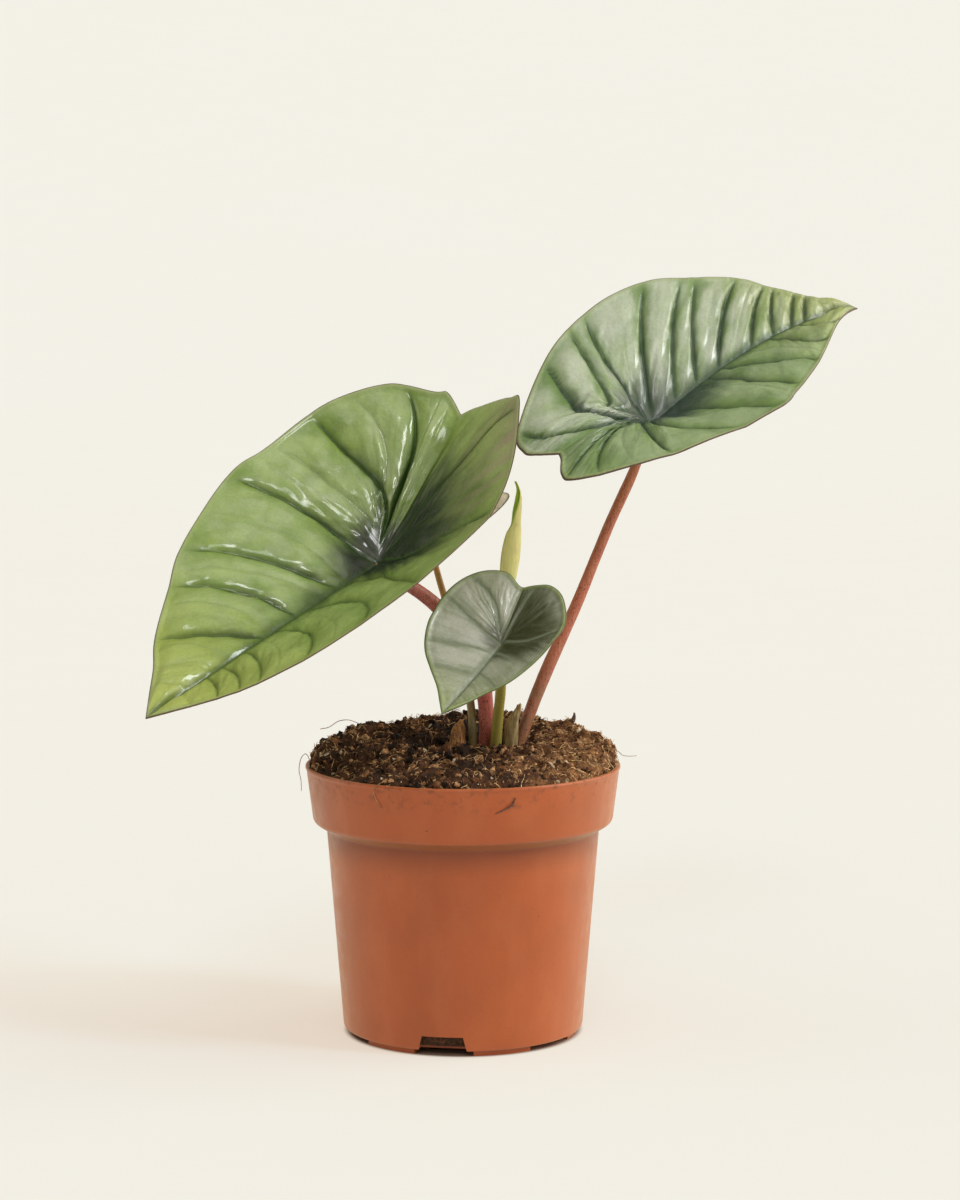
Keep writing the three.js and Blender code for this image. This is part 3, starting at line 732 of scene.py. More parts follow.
@dataclass(frozen=True)
class LeafSkin(Finish):
    """The upper face of a blade.

    Attributes:
        body: Colour of the flesh.
        light: Colour of paler patches.
        deep: Colour round the joint.
        furrow: Colour along the veins.
        silver_and_sheen: Colour of the silvery bloom on the swellings, partly the leaf's own silver and
            partly painted sheen.
        bloom_and_sheen: How much of that bloom and painted sheen shows; it is strongest on the glossier
            half.
        tip: Colour towards the tip.
        blush: Colour of a bronze patch.
        margin: Colour of the margin's dark line.
        margin_highlight: Colour of the pale line inside it, a painted highlight along the rolled margin.
        gloss: Least and greatest roughness.
        satin: How rough the clear gloss over it is.
        sheen: How strongly the flesh itself reflects.
        comb: Depth in millimetres of the finest wrinkles along the veins.
        rib_gloss: How much of the gloss the midrib keeps.
    """

    body: str
    light: str
    deep: str
    furrow: str
    silver_and_sheen: str
    bloom_and_sheen: float
    tip: str = "#94903c"
    blush: str = "#8d7d68"
    margin: str = "#4b3a2c"
    margin_highlight: str = "#8f9a66"
    gloss: Pair = (0.36, 0.52)
    satin: float = 0.13
    sheen: float = 0.25
    comb: float = 0.45
    rib_gloss: float = 1.0

    def build(self) -> Material:
        """Writes the material.

        Returns:
            The material.
        """
        board = Board(self.name)
        vein, side_vein, rib, edge = board.marks("lines")
        swell, dark, blush, tipward = board.marks("forms")
        shine = board.mark("shine")
        cloud = board.plus(board.noise(13.0, 2.0), board.times(swell, 0.3))
        flesh = board.lay(paint(self.body), self.light, cloud, 0.5, 1.0)
        # Silvery bloom on the swellings: partly the leaf's own silver, partly painted sheen that is
        # strongest where the half is glossier.
        cloud = board.plus(board.woven(3.4, 16.0, 3.0), board.times(swell, 0.5))
        bloom_and_sheen = board.times(board.ease(cloud, 0.6, 1.1), board.ease(shine, 0.1, 0.6, 0.3, 1.0), self.bloom_and_sheen)
        flesh = board.lay(flesh, self.silver_and_sheen, bloom_and_sheen)
        flesh = board.lay(flesh, self.tip, tipward, 0.35, 1.0, 0.0, 0.75)
        shade = board.plus(dark, board.ease(board.woven(2.6, 12.0), 0.3, 0.7, -0.1, 0.1))
        flesh = board.lay(flesh, self.deep, shade, 0.06, 1.0)
        stripes = board.ease(board.woven(1.7, 40.0), 0.42, 0.6, 0.25, 0.95)
        flesh = board.lay(flesh, self.blush, board.times(blush, stripes))
        for line, share in ((side_vein, 0.32), (vein, 0.75), (rib, 0.7)):
            flesh = board.lay(flesh, self.furrow, board.times(line, share))
        flesh = board.mottled(flesh, 0.9, 0.06)
        # Painted highlight: a pale line just inside the dark margin, where the rolled edge catches the
        # light.
        flesh = board.lay(flesh, self.margin_highlight, edge, 0.2, 0.08, 0.0, 0.6)
        flesh = board.lay(flesh, self.margin, edge, 0.055, 0.02)
        wrinkle = board.bump(board.woven(1.8, 8.0, 1.2), self.comb, board.bump(board.noise(2.6, 1.2), 0.34))
        wet = board.times(dark, board.ease(board.woven(2.2, 9.0), 0.38, 0.52, 0.25, 1.0))
        glazed = board.times(
            board.ease(board.noise(9.0, 2.0), 0.4, 0.6, 0.3, 1.0),
            board.ease(dark, 0.3, 0.8, 1.0, 0.2),
        )
        coat = board.times(
            shine,
            board.ease(vein, 0.1, 0.8, 1.0, 0.1),
            board.ease(rib, 0.05, 0.5, 1.0, self.rib_gloss),
            board.math("MAXIMUM", glazed, wet),
        )
        return board.finish(
            flesh, board.drift(2.2, *self.gloss, 3.0), board.bump(board.cells(0.45), 0.025, wrinkle),
            Coat_Weight=coat, Coat_Roughness=self.satin, Coat_IOR=1.7, Specular_IOR_Level=self.sheen,
        )


@dataclass(frozen=True)
class UnderSkin(Finish):
    """The under face of a blade.

    Attributes:
        body: Colour of the flesh.
        vein: Colour of the raised veins.
        margin: Colour of the margin.
    """

    body: str
    vein: str
    margin: str = "#6b4e3c"

    def build(self) -> Material:
        """Writes the material.

        Returns:
            The material.
        """
        board = Board(self.name)
        vein, side_vein, rib, edge = board.marks("lines")
        flesh = board.mottled(paint(self.body), 6.0, 0.1)
        for line, share in ((side_vein, 0.3), (vein, 0.65), (rib, 0.8)):
            flesh = board.lay(flesh, self.vein, board.times(line, share))
        flesh = board.lay(board.mottled(flesh, 0.8, 0.06), self.margin, edge, 0.06, 0.03)
        grain = board.bump(board.cells(0.5), 0.04, board.bump(board.noise(1.8, 3.0), 0.15))
        return board.finish(flesh, board.drift(2.0, 0.46, 0.6), grain)


@dataclass(frozen=True)
class StalkSkin(Finish):
    """A fleshy stalk with dots.

    Attributes:
        foot: Colour at the foot.
        middle: Colour half way up.
        head: Colour at the top.
        dots: Colour of the dots.
        dotting: Share of the dots that shows.
        streak: Colour of the lengthwise streaks.
    """

    foot: str
    middle: str
    head: str
    dots: str
    dotting: float
    streak: str

    def build(self) -> Material:
        """Writes the material.

        Returns:
            The material.
        """
        board = Board(self.name)
        along = board.plus(board.mark("along"), board.drift(9.0, -0.12, 0.12))
        skin = board.lay(paint(self.foot), self.middle, along, 0.05, 0.4)
        skin = board.lay(skin, self.head, along, 0.45, 0.95)
        skin = board.lay(skin, self.streak, board.noise(0.8, 2.0, (1, 1, 14)), 0.45, 0.75, 0.0, 0.45)
        patches = board.ease(board.noise(2.5, 2.0, (1, 1, 2)), 0.35, 0.6)
        spots = board.ease(board.cells(0.66, (1, 1, 1.6)), 0.4, 0.22)
        skin = board.lay(skin, self.dots, board.times(spots, patches, self.dotting))
        skin = board.mottled(skin, 0.35, 0.08)
        ribs = board.bump(board.noise(0.7, 2.0, (1, 1, 18)), 0.12)
        grain = board.bump(board.cells(0.3, (1, 1, 1.6)), 0.03, ribs)
        return board.finish(skin, board.drift(1.4, 0.38, 0.56), grain, Coat_Weight=0.1)


@dataclass(frozen=True)
class PaperSkin(Finish):
    """Dry, streaky tissue: an old sheath, a stub or the rhizome's bark.

    Attributes:
        pale: Colour of the dry tissue.
        dark: Colour of its streaks.
        stain: Colour of its patches.
        grain: Width of a streak in millimetres.
        depth: Depth of the streaks in millimetres.
    """

    pale: str
    dark: str
    stain: str
    grain: float = 0.6
    depth: float = 0.3

    def build(self) -> Material:
        """Writes the material.

        Returns:
            The material.
        """
        board = Board(self.name)
        streaks = board.noise(self.grain, 3.0, (1, 1, 12))
        skin = board.lay(paint(self.pale), self.dark, streaks, 0.38, 0.66)
        skin = board.lay(skin, self.stain, board.noise(4.5, 3.0), 0.45, 0.72, 0.0, 0.8)
        skin = board.lay(skin, self.stain, board.cells(1.1), 0.28, 0.1, 0.0, 0.6)
        fold = board.bump(board.noise(0.4, 2.0), 0.06, board.bump(streaks, self.depth))
        return board.finish(skin, board.drift(1.2, 0.62, 0.85), fold)


@dataclass(frozen=True)
class YoungSkin(Finish):
    """The thin flesh of the rolled young leaf, greener in its inner turns.

    Attributes:
        outer: Colour of the outer turn.
        inner: Colour of the inner turns.
        foot: Colour at the foot.
    """

    name: str = "young leaf flesh"
    outer: str = "#e0d98f"
    inner: str = "#8fae1c"
    foot: str = "#b9ad55"

    def build(self) -> Material:
        """Writes the material.

        Returns:
            The material.
        """
        board = Board(self.name)
        wrap, height, _, _ = board.marks("turns")
        skin = board.lay(paint(self.outer), self.inner, wrap, 0.3, 0.55)
        skin = board.lay(skin, self.inner, wrap, 0.045, 0.0, 0.0, 0.7)
        skin = board.lay(skin, self.foot, height, 0.25, 0.0, 0.0, 0.7)
        skin = board.mottled(board.mottled(skin, 1.0, 0.07, (1, 1, 7)), 5.0, 0.06)
        grain = board.bump(board.cells(0.4), 0.02, board.bump(board.noise(0.9, 2.0, (1, 1, 9)), 0.16))
        rough = board.drift(2.0, 0.4, 0.55)
        return board.finish(skin, rough, grain, Subsurface_Weight=0.2, Subsurface_Scale=0.002)


@dataclass(frozen=True)
class PeatSkin(Finish):
    """Peat, its crumbs and its fibres, each toned by a number of its own.

    Attributes:
        dark: Colour of damp peat.
        brown: Colour of drier peat.
        tan: Colour of dry fibre.
        toned: Whether the piece holds a tone for each crumb or fibre.
        dry: How much paler it turns towards its +X side. It is darker round the plant's middle too.
    """

    dark: str
    brown: str
    tan: str
    toned: bool
    dry: float = 0.28

    def build(self) -> Material:
        """Writes the material.

        Returns:
            The material.
        """
        board = Board(self.name)
        tone = board.noise(7.0, 4.0)
        if self.toned:
            tone = board.plus(board.mark("tone"), board.math("SUBTRACT", tone, 0.5))
        across = board.add("ShaderNodeSeparateXYZ", {"Vector": board.here})[0]
        tone = board.plus(tone, board.ease(across, 0.0, 45 * MM, -0.02, self.dry))
        tone = board.plus(tone, board.ease(board.from_axis(), 10 * MM, 38 * MM, -0.2, 0.06))
        earth = board.lay(paint(self.dark), self.brown, tone, 0.25, 0.7)
        earth = board.mottled(board.lay(earth, self.tan, tone, 0.62, 0.98), 1.3, 0.55)
        grain = board.bump(board.noise(0.5, 3.0), 0.2, board.bump(board.noise(1.6, 5.0), 0.7))
        return board.finish(earth, board.drift(1.5, 0.8, 0.97), grain, Specular_IOR_Level=0.25)


@dataclass(frozen=True)
class MineralSkin(Finish):
    """Pale mineral grains in the peat.

    Attributes:
        pale: Colour of a clean grain.
        stained: Colour of its stains.
    """

    name: str = "pale grain"
    pale: str = "#d9cbb0"
    stained: str = "#9a8463"

    def build(self) -> Material:
        """Writes the material.

        Returns:
            The material.
        """
        board = Board(self.name)
        skin = board.lay(paint(self.pale), self.stained, board.noise(1.1, 3.0), 0.42, 0.66)
        grain = board.bump(board.noise(0.45, 3.0), 0.15)
        return board.finish(board.mottled(skin, 0.4, 0.1), board.drift(0.6, 0.75, 0.95), grain)


@dataclass(frozen=True)
class PotPlastic(Finish):
    """Moulded terracotta-coloured plastic, dusty below the rim and dirty in places, with painted shade on
    the wall below the band.

    Attributes:
        plastic: Its colour.
        worn: Colour where it is rubbed and dusty.
        band_shade: Colour of the painted shade on the wall below the band.
        dirt: Colour of the soil on it.
        rim: Height in millimetres where soil dust is thickest.
        band: Height in millimetres of the band's foot, under which shade is painted on the wall.
    """

    name: str = "pot plastic"
    plastic: str = "#a04b1d"
    worn: str = "#a9582b"
    band_shade: str = "#6a2c0e"
    dirt: str = "#4a2c1c"
    rim: float = 103.0
    band: float = 79.0

    def build(self) -> Material:
        """Writes the material.

        Returns:
            The material.
        """
        board = Board(self.name)
        height = board.add("ShaderNodeSeparateXYZ", {"Vector": board.here})[2]
        wear = board.noise(11.0, 4.0, (1, 1, 2.5))
        skin = board.lay(paint(self.plastic), self.worn, wear, 0.42, 0.72, 0.0, 0.5)
        skin = board.mottled(board.mottled(skin, 24.0, 0.05), 1.1, 0.025)
        # Painted shade: the wall just below the band is darkened where the band overhangs it.
        below = board.ease(height, (self.band - 12) * MM, self.band * MM, 0.0, 0.65)
        band_shade = board.times(below, board.ease(height, (self.band + 3.2) * MM, (self.band + 2.2) * MM))
        skin = board.lay(skin, self.band_shade, band_shade)
        near = board.ease(height, (self.rim - 13) * MM, (self.rim - 0.5) * MM, 0.0, 0.55)
        dust = board.times(board.ease(board.noise(2.3, 5.0), 0.5, 0.72), near)
        skin = board.lay(skin, self.dirt, dust)
        places = board.ease(board.noise(20.0), 0.5, 0.6)
        specks = board.times(board.ease(board.cells(7.5), 0.07, 0.03), places, 0.75)
        skin = board.lay(skin, self.dirt, specks)
        rough = board.plus(board.drift(6.0, 0.3, 0.42, 3.0), board.times(dust, 0.4))
        flow = board.bump(board.noise(9.0, 2.0, (1, 1, 5)), 0.12)
        return board.finish(
            skin, rough, board.bump(board.noise(0.35, 2.0), 0.012, flow), Specular_IOR_Level=0.45,
            Sheen_Weight=0.3, Sheen_Roughness=0.5, Sheen_Tint=paint("#ffd9a0"),
        )


@dataclass(frozen=True)
class StudioPaper(Finish):
    """The pale sweep under and behind the plant, lit from behind as well, with a painted contact shadow
    under the pot.

    Attributes:
        colour: Its colour.
        painted_contact_shadow: Its colour under the pot, a painted contact shadow.
        shine_through: Colour of the light that comes through it.
        strength: How strong that light is.
        contact_shadow_span: Millimetres from the pot's axis where that light begins and where it is whole;
            inside it the paper is painted as the pot's contact shadow.
    """

    name: str = "studio paper"
    colour: str = "#7899a4"
    painted_contact_shadow: str = "#8d7768"
    shine_through: str = "#ffe1c8"
    strength: float = 0.655
    contact_shadow_span: Pair = (43.0, 46.6)

    def build(self) -> Material:
        """Writes the material.

        Returns:
            The material.
        """
        board = Board(self.name)
        inner, outer = self.contact_shadow_span
        # Painted contact shadow under the pot: inside these radii the paper takes the shadow colour and
        # stops glowing.
        clear = board.ease(board.from_axis(), inner * MM, outer * MM)
        paper = board.mix(clear, paint(self.painted_contact_shadow), board.mottled(paint(self.colour), 400.0, 0.006))
        return board.finish(
            paper, board.drift(60.0, 0.85, 0.95), board.bump(board.noise(0.8), 0.01),
            Specular_IOR_Level=0.1, Emission_Color=paint(self.shine_through),
            Emission_Strength=board.times(clear, self.strength),
        )


# Blades


class Face(Enum):
    """The two faces of a blade, by the number of their finish."""

    UPPER = 0
    UNDER = 1


# Places along the margin: at the sinus, at the end of the joint's line and at the lobe's rib
VEINS = 12
INSERTION_VEIN = 6
LOBE_VEIN = 9

# How far the lobe's rib reaches towards the margin, and how much a line bows, as shares
LOBE_RIB_SHARE = 0.3
VEIN_BOW = 0.1


@dataclass(frozen=True)
class Vein:
    """A vein of a half blade, in places along the margin: 0 at the tip and 12 at the sinus.

    Attributes:
        foot: The place whose line it leaves the midrib on.
        head: The place where it meets the margin.
        haste: How early it turns from the one to the other.
        depth: How deep its furrow is, 1 for a side vein.
        main: Whether it parts two swellings, or only creases one.
        bends: Share of the way out and place of each bend, where it doesn't simply turn.
    """

    foot: float
    head: float
    haste: float = 1.0
    depth: float = 1.0
    main: bool = True
    bends: tuple[Pair, ...] = ()

    def place(self, share: Array) -> Array:
        """The vein's place at shares of the way out to the margin.

        Args:
            share: Shares of the way out, from 0 to 1.

        Returns:
            A place for each share.
        """
        if not self.bends:
            return self.head + (self.foot - self.head) * (1 - share) ** self.haste
        corners = np.array(((0, self.foot), *self.bends, (1, self.head)))
        line = spline(corners, np.linspace(0, len(corners) - 1, 120))
        return np.interp(share, np.maximum.accumulate(line[:, 0]), line[:, 1])


def crease(foot: float, head: float, haste: float = 1.0, depth: float = 0.6) -> Vein:
    """A vein that only creases a swelling."""
    return Vein(foot, head, haste, depth, main=False)


@dataclass(frozen=True)
class HalfBlade:
    """One side of a blade's midrib.

    Attributes:
        side: 1 or -1, the sign of its sideways axis.
        fold: Slope at the tip, the joint and the lobe, then its cupping at the joint and the lobe.
        outline: Millimetres and degrees from the joint to each place of the margin, 0 at the tip.
        veins: Its veins, from the tip to the sinus.
        dark: How dark it is round the joint, and how far that reaches backward and forward.
        puff: How much of the blade's swelling it has.
        shine: How much of the blade's clear gloss it has; it also sets where the painted sheen of the silver
            bloom shows.
        blush: Place and share of the way out of a bronze patch, and its spread in each.
    """

    side: int
    fold: tuple[float, float, float, float, float]
    outline: tuple[Pair, ...]
    veins: tuple[Vein, ...]
    dark: Triple
    puff: float = 1.0
    shine: float = 0.6
    blush: Quad = (0, 9, 1, 1)

    @property
    def length(self) -> float:
        """Millimetres from the joint to the tip."""
        return self.outline[0][0]

    def margin(self, place: Array) -> Array:
        """The flat margin.

        Args:
            place: Places along it.

        Returns:
            Forward and sideways millimetres from the joint for each place.
        """
        reach, angle = np.array(self.outline, float).T
        angle = np.radians(angle)
        return spline(np.stack([reach * np.cos(angle), self.side * reach * np.sin(angle)], 1), place)

    def flat(self, place: Array, share: Array) -> Array:
        """Points of the flat blade.

        Args:
            place: The line from the midrib to this place of the margin.
            share: How far out along it.

        Returns:
            Forward and sideways millimetres from the joint.
        """
        end = self.margin(place)
        ahead = self.length * (1 - place / INSERTION_VEIN)
        lobe = np.clip((place - INSERTION_VEIN) / (LOBE_VEIN - INSERTION_VEIN), 0, 1)
        back = np.clip((VEINS - place) / (VEINS - LOBE_VEIN), 0, 1)
        rib = self.margin(np.array(float(LOBE_VEIN))) * (LOBE_RIB_SHARE * np.minimum(lobe, back))[..., None]
        midrib = np.stack([ahead, np.zeros_like(ahead)], -1)
        start = np.where((place <= INSERTION_VEIN)[..., None], midrib, rib)
        span = end - start
        bow = np.stack([-span[..., 1], span[..., 0]], -1) * (self.side * VEIN_BOW * (1 - lobe))[..., None]
        t = share[..., None]
        return (1 - t) ** 2 * start + 2 * t * (1 - t) * ((start + end) / 2 + bow) + t * t * end

    def among(self, place: Array, share: Array, mains: bool) -> tuple[Array, Array, Array, Array]:
        """Where points lie among the veins.

        Args:
            place: Places along the margin, down the columns of a grid.
            share: Shares of the way out, along its rows.
            mains: Whether only the veins that part swellings count.

        Returns:
            The share of the way from one vein to the next and how far apart those two are, then the
            distance from the nearest vein and its depth.
        """
        veins = [vein for vein in self.veins if vein.main or not mains]
        flat, out = self.flat(place, share), share[0]
        by_place, by_share = np.gradient(flat, place[:, 0], axis=0), np.gradient(flat, out, axis=1)
        area = np.abs(by_place[..., 0] * by_share[..., 1] - by_place[..., 1] * by_share[..., 0])
        near, depth = np.full(place.shape, 99.0), np.zeros(place.shape)
        for vein in veins:
            line = vein.place(out)
            across = by_share + np.gradient(line, out)[:, None] * by_place
            distance = np.abs(place - line) * area / np.maximum(np.linalg.norm(across, axis=-1), 1e-6)
            depth = np.where(distance < near, vein.depth, depth)
            near = np.minimum(near, distance)
        lines = [vein.place(out) for vein in (Vein(0, 0), *veins, Vein(VEINS, VEINS))]
        places = np.maximum.accumulate(np.stack(lines), axis=0)
        feet = self.flat(places, np.broadcast_to(out, places.shape))
        gaps = np.linalg.norm(np.diff(feet, axis=0), axis=2)
        cell = np.clip((place[:, :, None] >= places.T[None]).sum(axis=2) - 1, 0, len(lines) - 2)
        low, high = np.take_along_axis(places, cell, 0), np.take_along_axis(places, cell + 1, 0)
        t = np.clip((place - low) / np.maximum(high - low, 1e-6), 0, 1)
        return t, np.take_along_axis(gaps, cell, 0), near, depth


@dataclass(frozen=True)
class Blade:
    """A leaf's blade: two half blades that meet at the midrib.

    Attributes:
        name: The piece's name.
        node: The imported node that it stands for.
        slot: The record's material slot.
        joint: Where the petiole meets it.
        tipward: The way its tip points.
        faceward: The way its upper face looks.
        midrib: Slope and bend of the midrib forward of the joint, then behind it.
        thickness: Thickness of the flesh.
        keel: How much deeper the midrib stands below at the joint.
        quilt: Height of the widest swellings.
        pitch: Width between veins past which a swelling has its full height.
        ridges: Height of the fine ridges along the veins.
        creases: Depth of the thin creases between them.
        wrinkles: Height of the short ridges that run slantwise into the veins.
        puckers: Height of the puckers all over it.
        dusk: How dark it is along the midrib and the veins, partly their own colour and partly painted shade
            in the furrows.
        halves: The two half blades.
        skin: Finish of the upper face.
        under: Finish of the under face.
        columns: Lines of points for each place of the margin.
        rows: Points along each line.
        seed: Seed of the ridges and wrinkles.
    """

    name: str
    node: str
    slot: str
    joint: Triple
    tipward: Triple
    faceward: Triple
    midrib: Quad
    thickness: float
    keel: float
    quilt: float
    pitch: float
    ridges: float
    creases: float
    wrinkles: float
    puckers: float
    dusk: float
    halves: tuple[HalfBlade, HalfBlade]
    skin: LeafSkin
    under: UnderSkin
    columns: int = 26
    rows: int = 52
    seed: int = 1

    def line(self, half: HalfBlade, flat: Array) -> Array:
        """Height of the bare fold over the flat blade.

        Args:
            half: The half blade.
            flat: Points of it.

        Returns:
            Heights in millimetres.
        """
        rise, bend, back_rise, back_bend = self.midrib
        tip, joint, lobe, cup, lobe_cup = half.fold
        x, y = np.moveaxis(flat, -1, 0)
        ahead, behind = np.clip(x / half.length, 0, 1), np.clip(-2 * x / half.length, 0, 1)
        forward = rise * x + bend * x * x / half.length
        backward = -back_rise * x + 2 * back_bend * x * x / half.length
        slope = joint + (tip - joint) * ahead * (2 - ahead) + (lobe - joint) * behind * (2 - behind)
        cupping = cup + (lobe_cup - cup) * behind
        return np.where(x > 0, forward, backward) + slope * abs(y) - 2 * cupping * y * y / half.length

    def surface(self, half: HalfBlade) -> tuple[Array, ...]:
        """Points of one half, upper and under, with the marks that its finish reads.

        Args:
            half: The half blade.

        Returns:
            Upper points, under points, lines, forms, shine and weft, each as a grid of columns and rows.
        """
        place, share = self.grid()
        flat = half.flat(place, share)
        x, y = np.moveaxis(flat, -1, 0)
        reach, off = np.hypot(x, y), np.abs(y)
        end = half.flat(place, np.ones_like(share))
        to_edge = np.linalg.norm(end - flat, axis=-1)
        run = np.linalg.norm(end - half.flat(place, np.zeros_like(share)), axis=-1)
        t, gap, near, depth = half.among(place, share, mains=True)
        fine_t, fine_gap, fine_near, fine_depth = half.among(place, share, mains=False)
        room = np.minimum(1, gap / self.pitch) ** 0.8
        fine_room = np.minimum(1, fine_gap / self.pitch)
        ends = np.minimum(1, place * 1.5) * np.minimum(1, (VEINS - place) * 1.5)
        rise = smooth(0, 0.14, share) * ends
        pillow = smooth(0, 0.34, share) ** 0.7 * ends
        fall = 1 - 0.92 * smooth(0.72, 0.98, share)
        drain = 1 - smooth(0.86, 0.98, share)
        swell = (4 * t * (1 - t)) ** 0.7
        fine_swell = (4 * fine_t * (1 - fine_t)) ** 0.7
        along = share * run
        warp = place + 0.3 * lumps(place * 0.9, along / 11, self.seed)
        long_waves = lumps(warp * 2.6, along / 17, self.seed + 1)
        long_waves += 0.5 * lumps(warp * 5.5, along / 12, self.seed + 4)
        thin = dip(lumps(warp * 2.2, along / 24, self.seed + 7), 0.13)
        u, v = x + 1.5 * long_waves, y + 2 * lumps(place * 0.7, along / 9, self.seed + 8)
        puckers = lumps((u + v) / 9, (v - u) / 8, self.seed + 3)
        puckers += 0.4 * lumps((u + v) / 5, (v - u) / 4.2, self.seed + 6)
        slant = t * gap * 0.9 + along * 0.35
        feathers = lumps(slant / 1.9, along / 9, self.seed + 2) * dip(near - 2.6, 3.0)
        quilt = self.quilt * half.puff
        pillows = 0.8 * pillow * room * swell + 0.35 * rise * fine_room * fine_swell - 0.25 * rise
        height = self.line(half, flat) + fall * quilt * pillows
        height += rise * fall * (self.ridges * long_waves + self.puckers * puckers)
        wrinkles = self.wrinkles * (1 + 1.5 * dip(reach, 26)) * feathers
        height += rise * fall * (wrinkles - self.creases * thin)
        height -= 0.26 * quilt * rise * drain * depth * np.exp(-np.hypot(near, 0.2) / 0.6)
        height -= 0.16 * quilt * rise * drain * fine_depth * np.exp(-np.hypot(fine_near, 0.2) / 0.5)
        rib = np.where(place <= INSERTION_VEIN, dip(off, 0.9), 0) * np.minimum(1, place)
        height -= 0.45 * rib + 0.18 * rise * dip(to_edge - 2.4, 0.8)
        height += 0.3 * dip(to_edge - 0.9, 0.55) - 0.25 * dip(to_edge, 0.4)
        flesh = self.thickness * (0.35 + 0.65 * smooth(0, 4, to_edge))
        keel = dip(off, 1.5) * np.minimum(1, np.minimum(place, VEINS - place) / INSERTION_VEIN)
        ribs = 0.45 * rise * drain * dip(near, 0.7) * depth
        under = height - flesh - self.keel * keel - 0.55 * rib - ribs * self.quilt / 2
        marks = np.stack([
            np.clip(drain * depth * dip(near, 0.6) * smooth(0, 0.05, share), 0, 1),
            np.clip(drain * np.maximum(fine_depth * dip(fine_near, 0.55), 0.5 * thin), 0, 1),
            np.clip(dip(off, 1.3) * np.where(place <= INSERTION_VEIN + 0.3, 1, 0), 0, 1),
            np.clip(to_edge / 10, 0, 1),
        ], -1)
        amount, back, ahead = half.dark
        dark = amount * (1 - smooth(0.2, 1, np.hypot(x / np.where(x > 0, ahead, back), y / back)))
        forward = np.clip(x / half.length, 0, 1)
        # Darker along the midrib and the veins: partly their own colour, partly painted shade in the
        # furrows.
        inner = (1 - smooth(0, 0.24, share)) * (1 - 0.8 * forward)
        lined = 0.8 * depth * dip(near, 2.2) * (1 - smooth(0.3, 1, share)) * drain
        dark = np.maximum(dark, self.dusk * np.maximum(inner, lined))
        at, out, wide, deep = half.blush
        blush = dip(np.hypot((place - at) / wide, (share - out) / deep), 1)
        forms = np.stack([np.clip(swell * room * rise, 0, 1), dark, blush, forward], -1)
        seen = smooth(0, 3, off) * np.where(place <= INSERTION_VEIN, 1, smooth(VEINS, VEINS - 1, place))
        mean = (self.halves[0].shine + self.halves[1].shine) / 2
        shine = (mean + (half.shine - mean) * seen) * (1 - 0.5 * smooth(0.35, 1, x / half.length))
        shine *= 1 - 0.4 * smooth(0.2, 0.6, reach / half.length)
        weft = np.stack([place * 9 + self.seed * 40, along, np.zeros_like(along)], -1)
        return np.dstack([flat, height]), np.dstack([flat, under]), marks, forms, shine, weft

    def grid(self) -> tuple[Array, Array]:
        """Spreads the points of a half blade.

        Returns:
            Places of the margin, half as dense next to the tip, and shares of the way out, denser at
            both ends, each as a grid of columns and rows.
        """
        sparse = np.linspace(0, 1, self.columns // 2, endpoint=False)
        places = np.concatenate([sparse, np.linspace(1, VEINS, self.columns * (VEINS - 1) + 1)])
        even = np.linspace(0, 1, self.rows)
        return np.meshgrid(places, 0.45 * even + 0.55 * (1 - np.cos(np.pi * even)) / 2, indexing="ij")

    def mesh(self) -> Mesh:
        """Both halves, joined along the midrib and closed round the margin.

        Returns:
            The mesh, with marks for its finishes.
        """
        grids = [self.surface(half) for half in self.halves]
        columns, rows = grids[0][0].shape[:2]
        size = columns * rows
        upper, lower = (np.concatenate([grid[n].reshape(-1, 3) for grid in grids]) for n in (0, 1))
        keys = np.round(upper[:, :2], 3) + 0.0
        _, first, number = np.unique(keys, axis=0, return_index=True, return_inverse=True)
        number, count = number.ravel(), len(first)
        quads, last = grid_faces(columns, rows), np.arange(columns) * rows + rows - 1
        numbered, rim = [], []
        for n, half in enumerate(self.halves):
            numbered.append(number[quads + n * size][:, ::half.side])
            edge = number[last + n * size][::half.side].tolist()
            rim += [(a, a + count, b + count, b) for a, b in zip(edge, edge[1:]) if a != b]
        faces = self.clean(np.vstack(numbered))
        below = [tuple(point + count for point in reversed(face)) for face in faces]
        marks = {}
        for label, n in (("lines", 2), ("forms", 3), ("shine", 4), ("weft", 5)):
            values = np.concatenate([grid[n].reshape(size, -1) for grid in grids])[first]
            marks[label] = np.vstack([values, values])
        points = self.set_out(np.vstack([upper[first], lower[first]]))
        finish = np.array([Face.UPPER.value] * len(faces) + [Face.UNDER.value] * (len(below) + len(rim)))
        return Mesh(points, [*faces, *below, *rim], marks, finish)

    @staticmethod
    def clean(faces: Array) -> list[tuple[int, ...]]:
        """Drops repeated points from faces, and faces with fewer than three.

        Args:
            faces: Four point numbers for each face.

        Returns:
            The faces that are left.
        """
        kept = []
        for face in faces.tolist():
            ring = [point for i, point in enumerate(face) if point != face[i - 1]]
            if len(set(ring)) == len(ring) > 2:
                kept.append(tuple(ring))
        return kept

    def set_out(self, points: Array) -> Array:
        """Moves points from the blade's own frame to the plant's.

        Args:
            points: Forward, sideways and upward millimetres from the joint.

        Returns:
            Their places on the plant.
        """
        tipward = np.array(self.tipward) / np.linalg.norm(self.tipward)
        faceward = np.array(self.faceward) - np.dot(self.faceward, tipward) * tipward
        faceward /= np.linalg.norm(faceward)
        return np.array(self.joint) + points @ np.stack([tipward, np.cross(faceward, tipward), faceward])

    def below_joint(self, depth: float) -> Triple:
        """The point this far below the upper face at the joint."""
        return tuple(self.set_out(np.array([[0.0, 0.0, -depth]]))[0])

    def build(self) -> None:
        """Builds and dresses the blade."""
        piece = self.mesh().build(self.name, [self.skin.build(), self.under.build()])
        present(piece, self.slot, self.node)


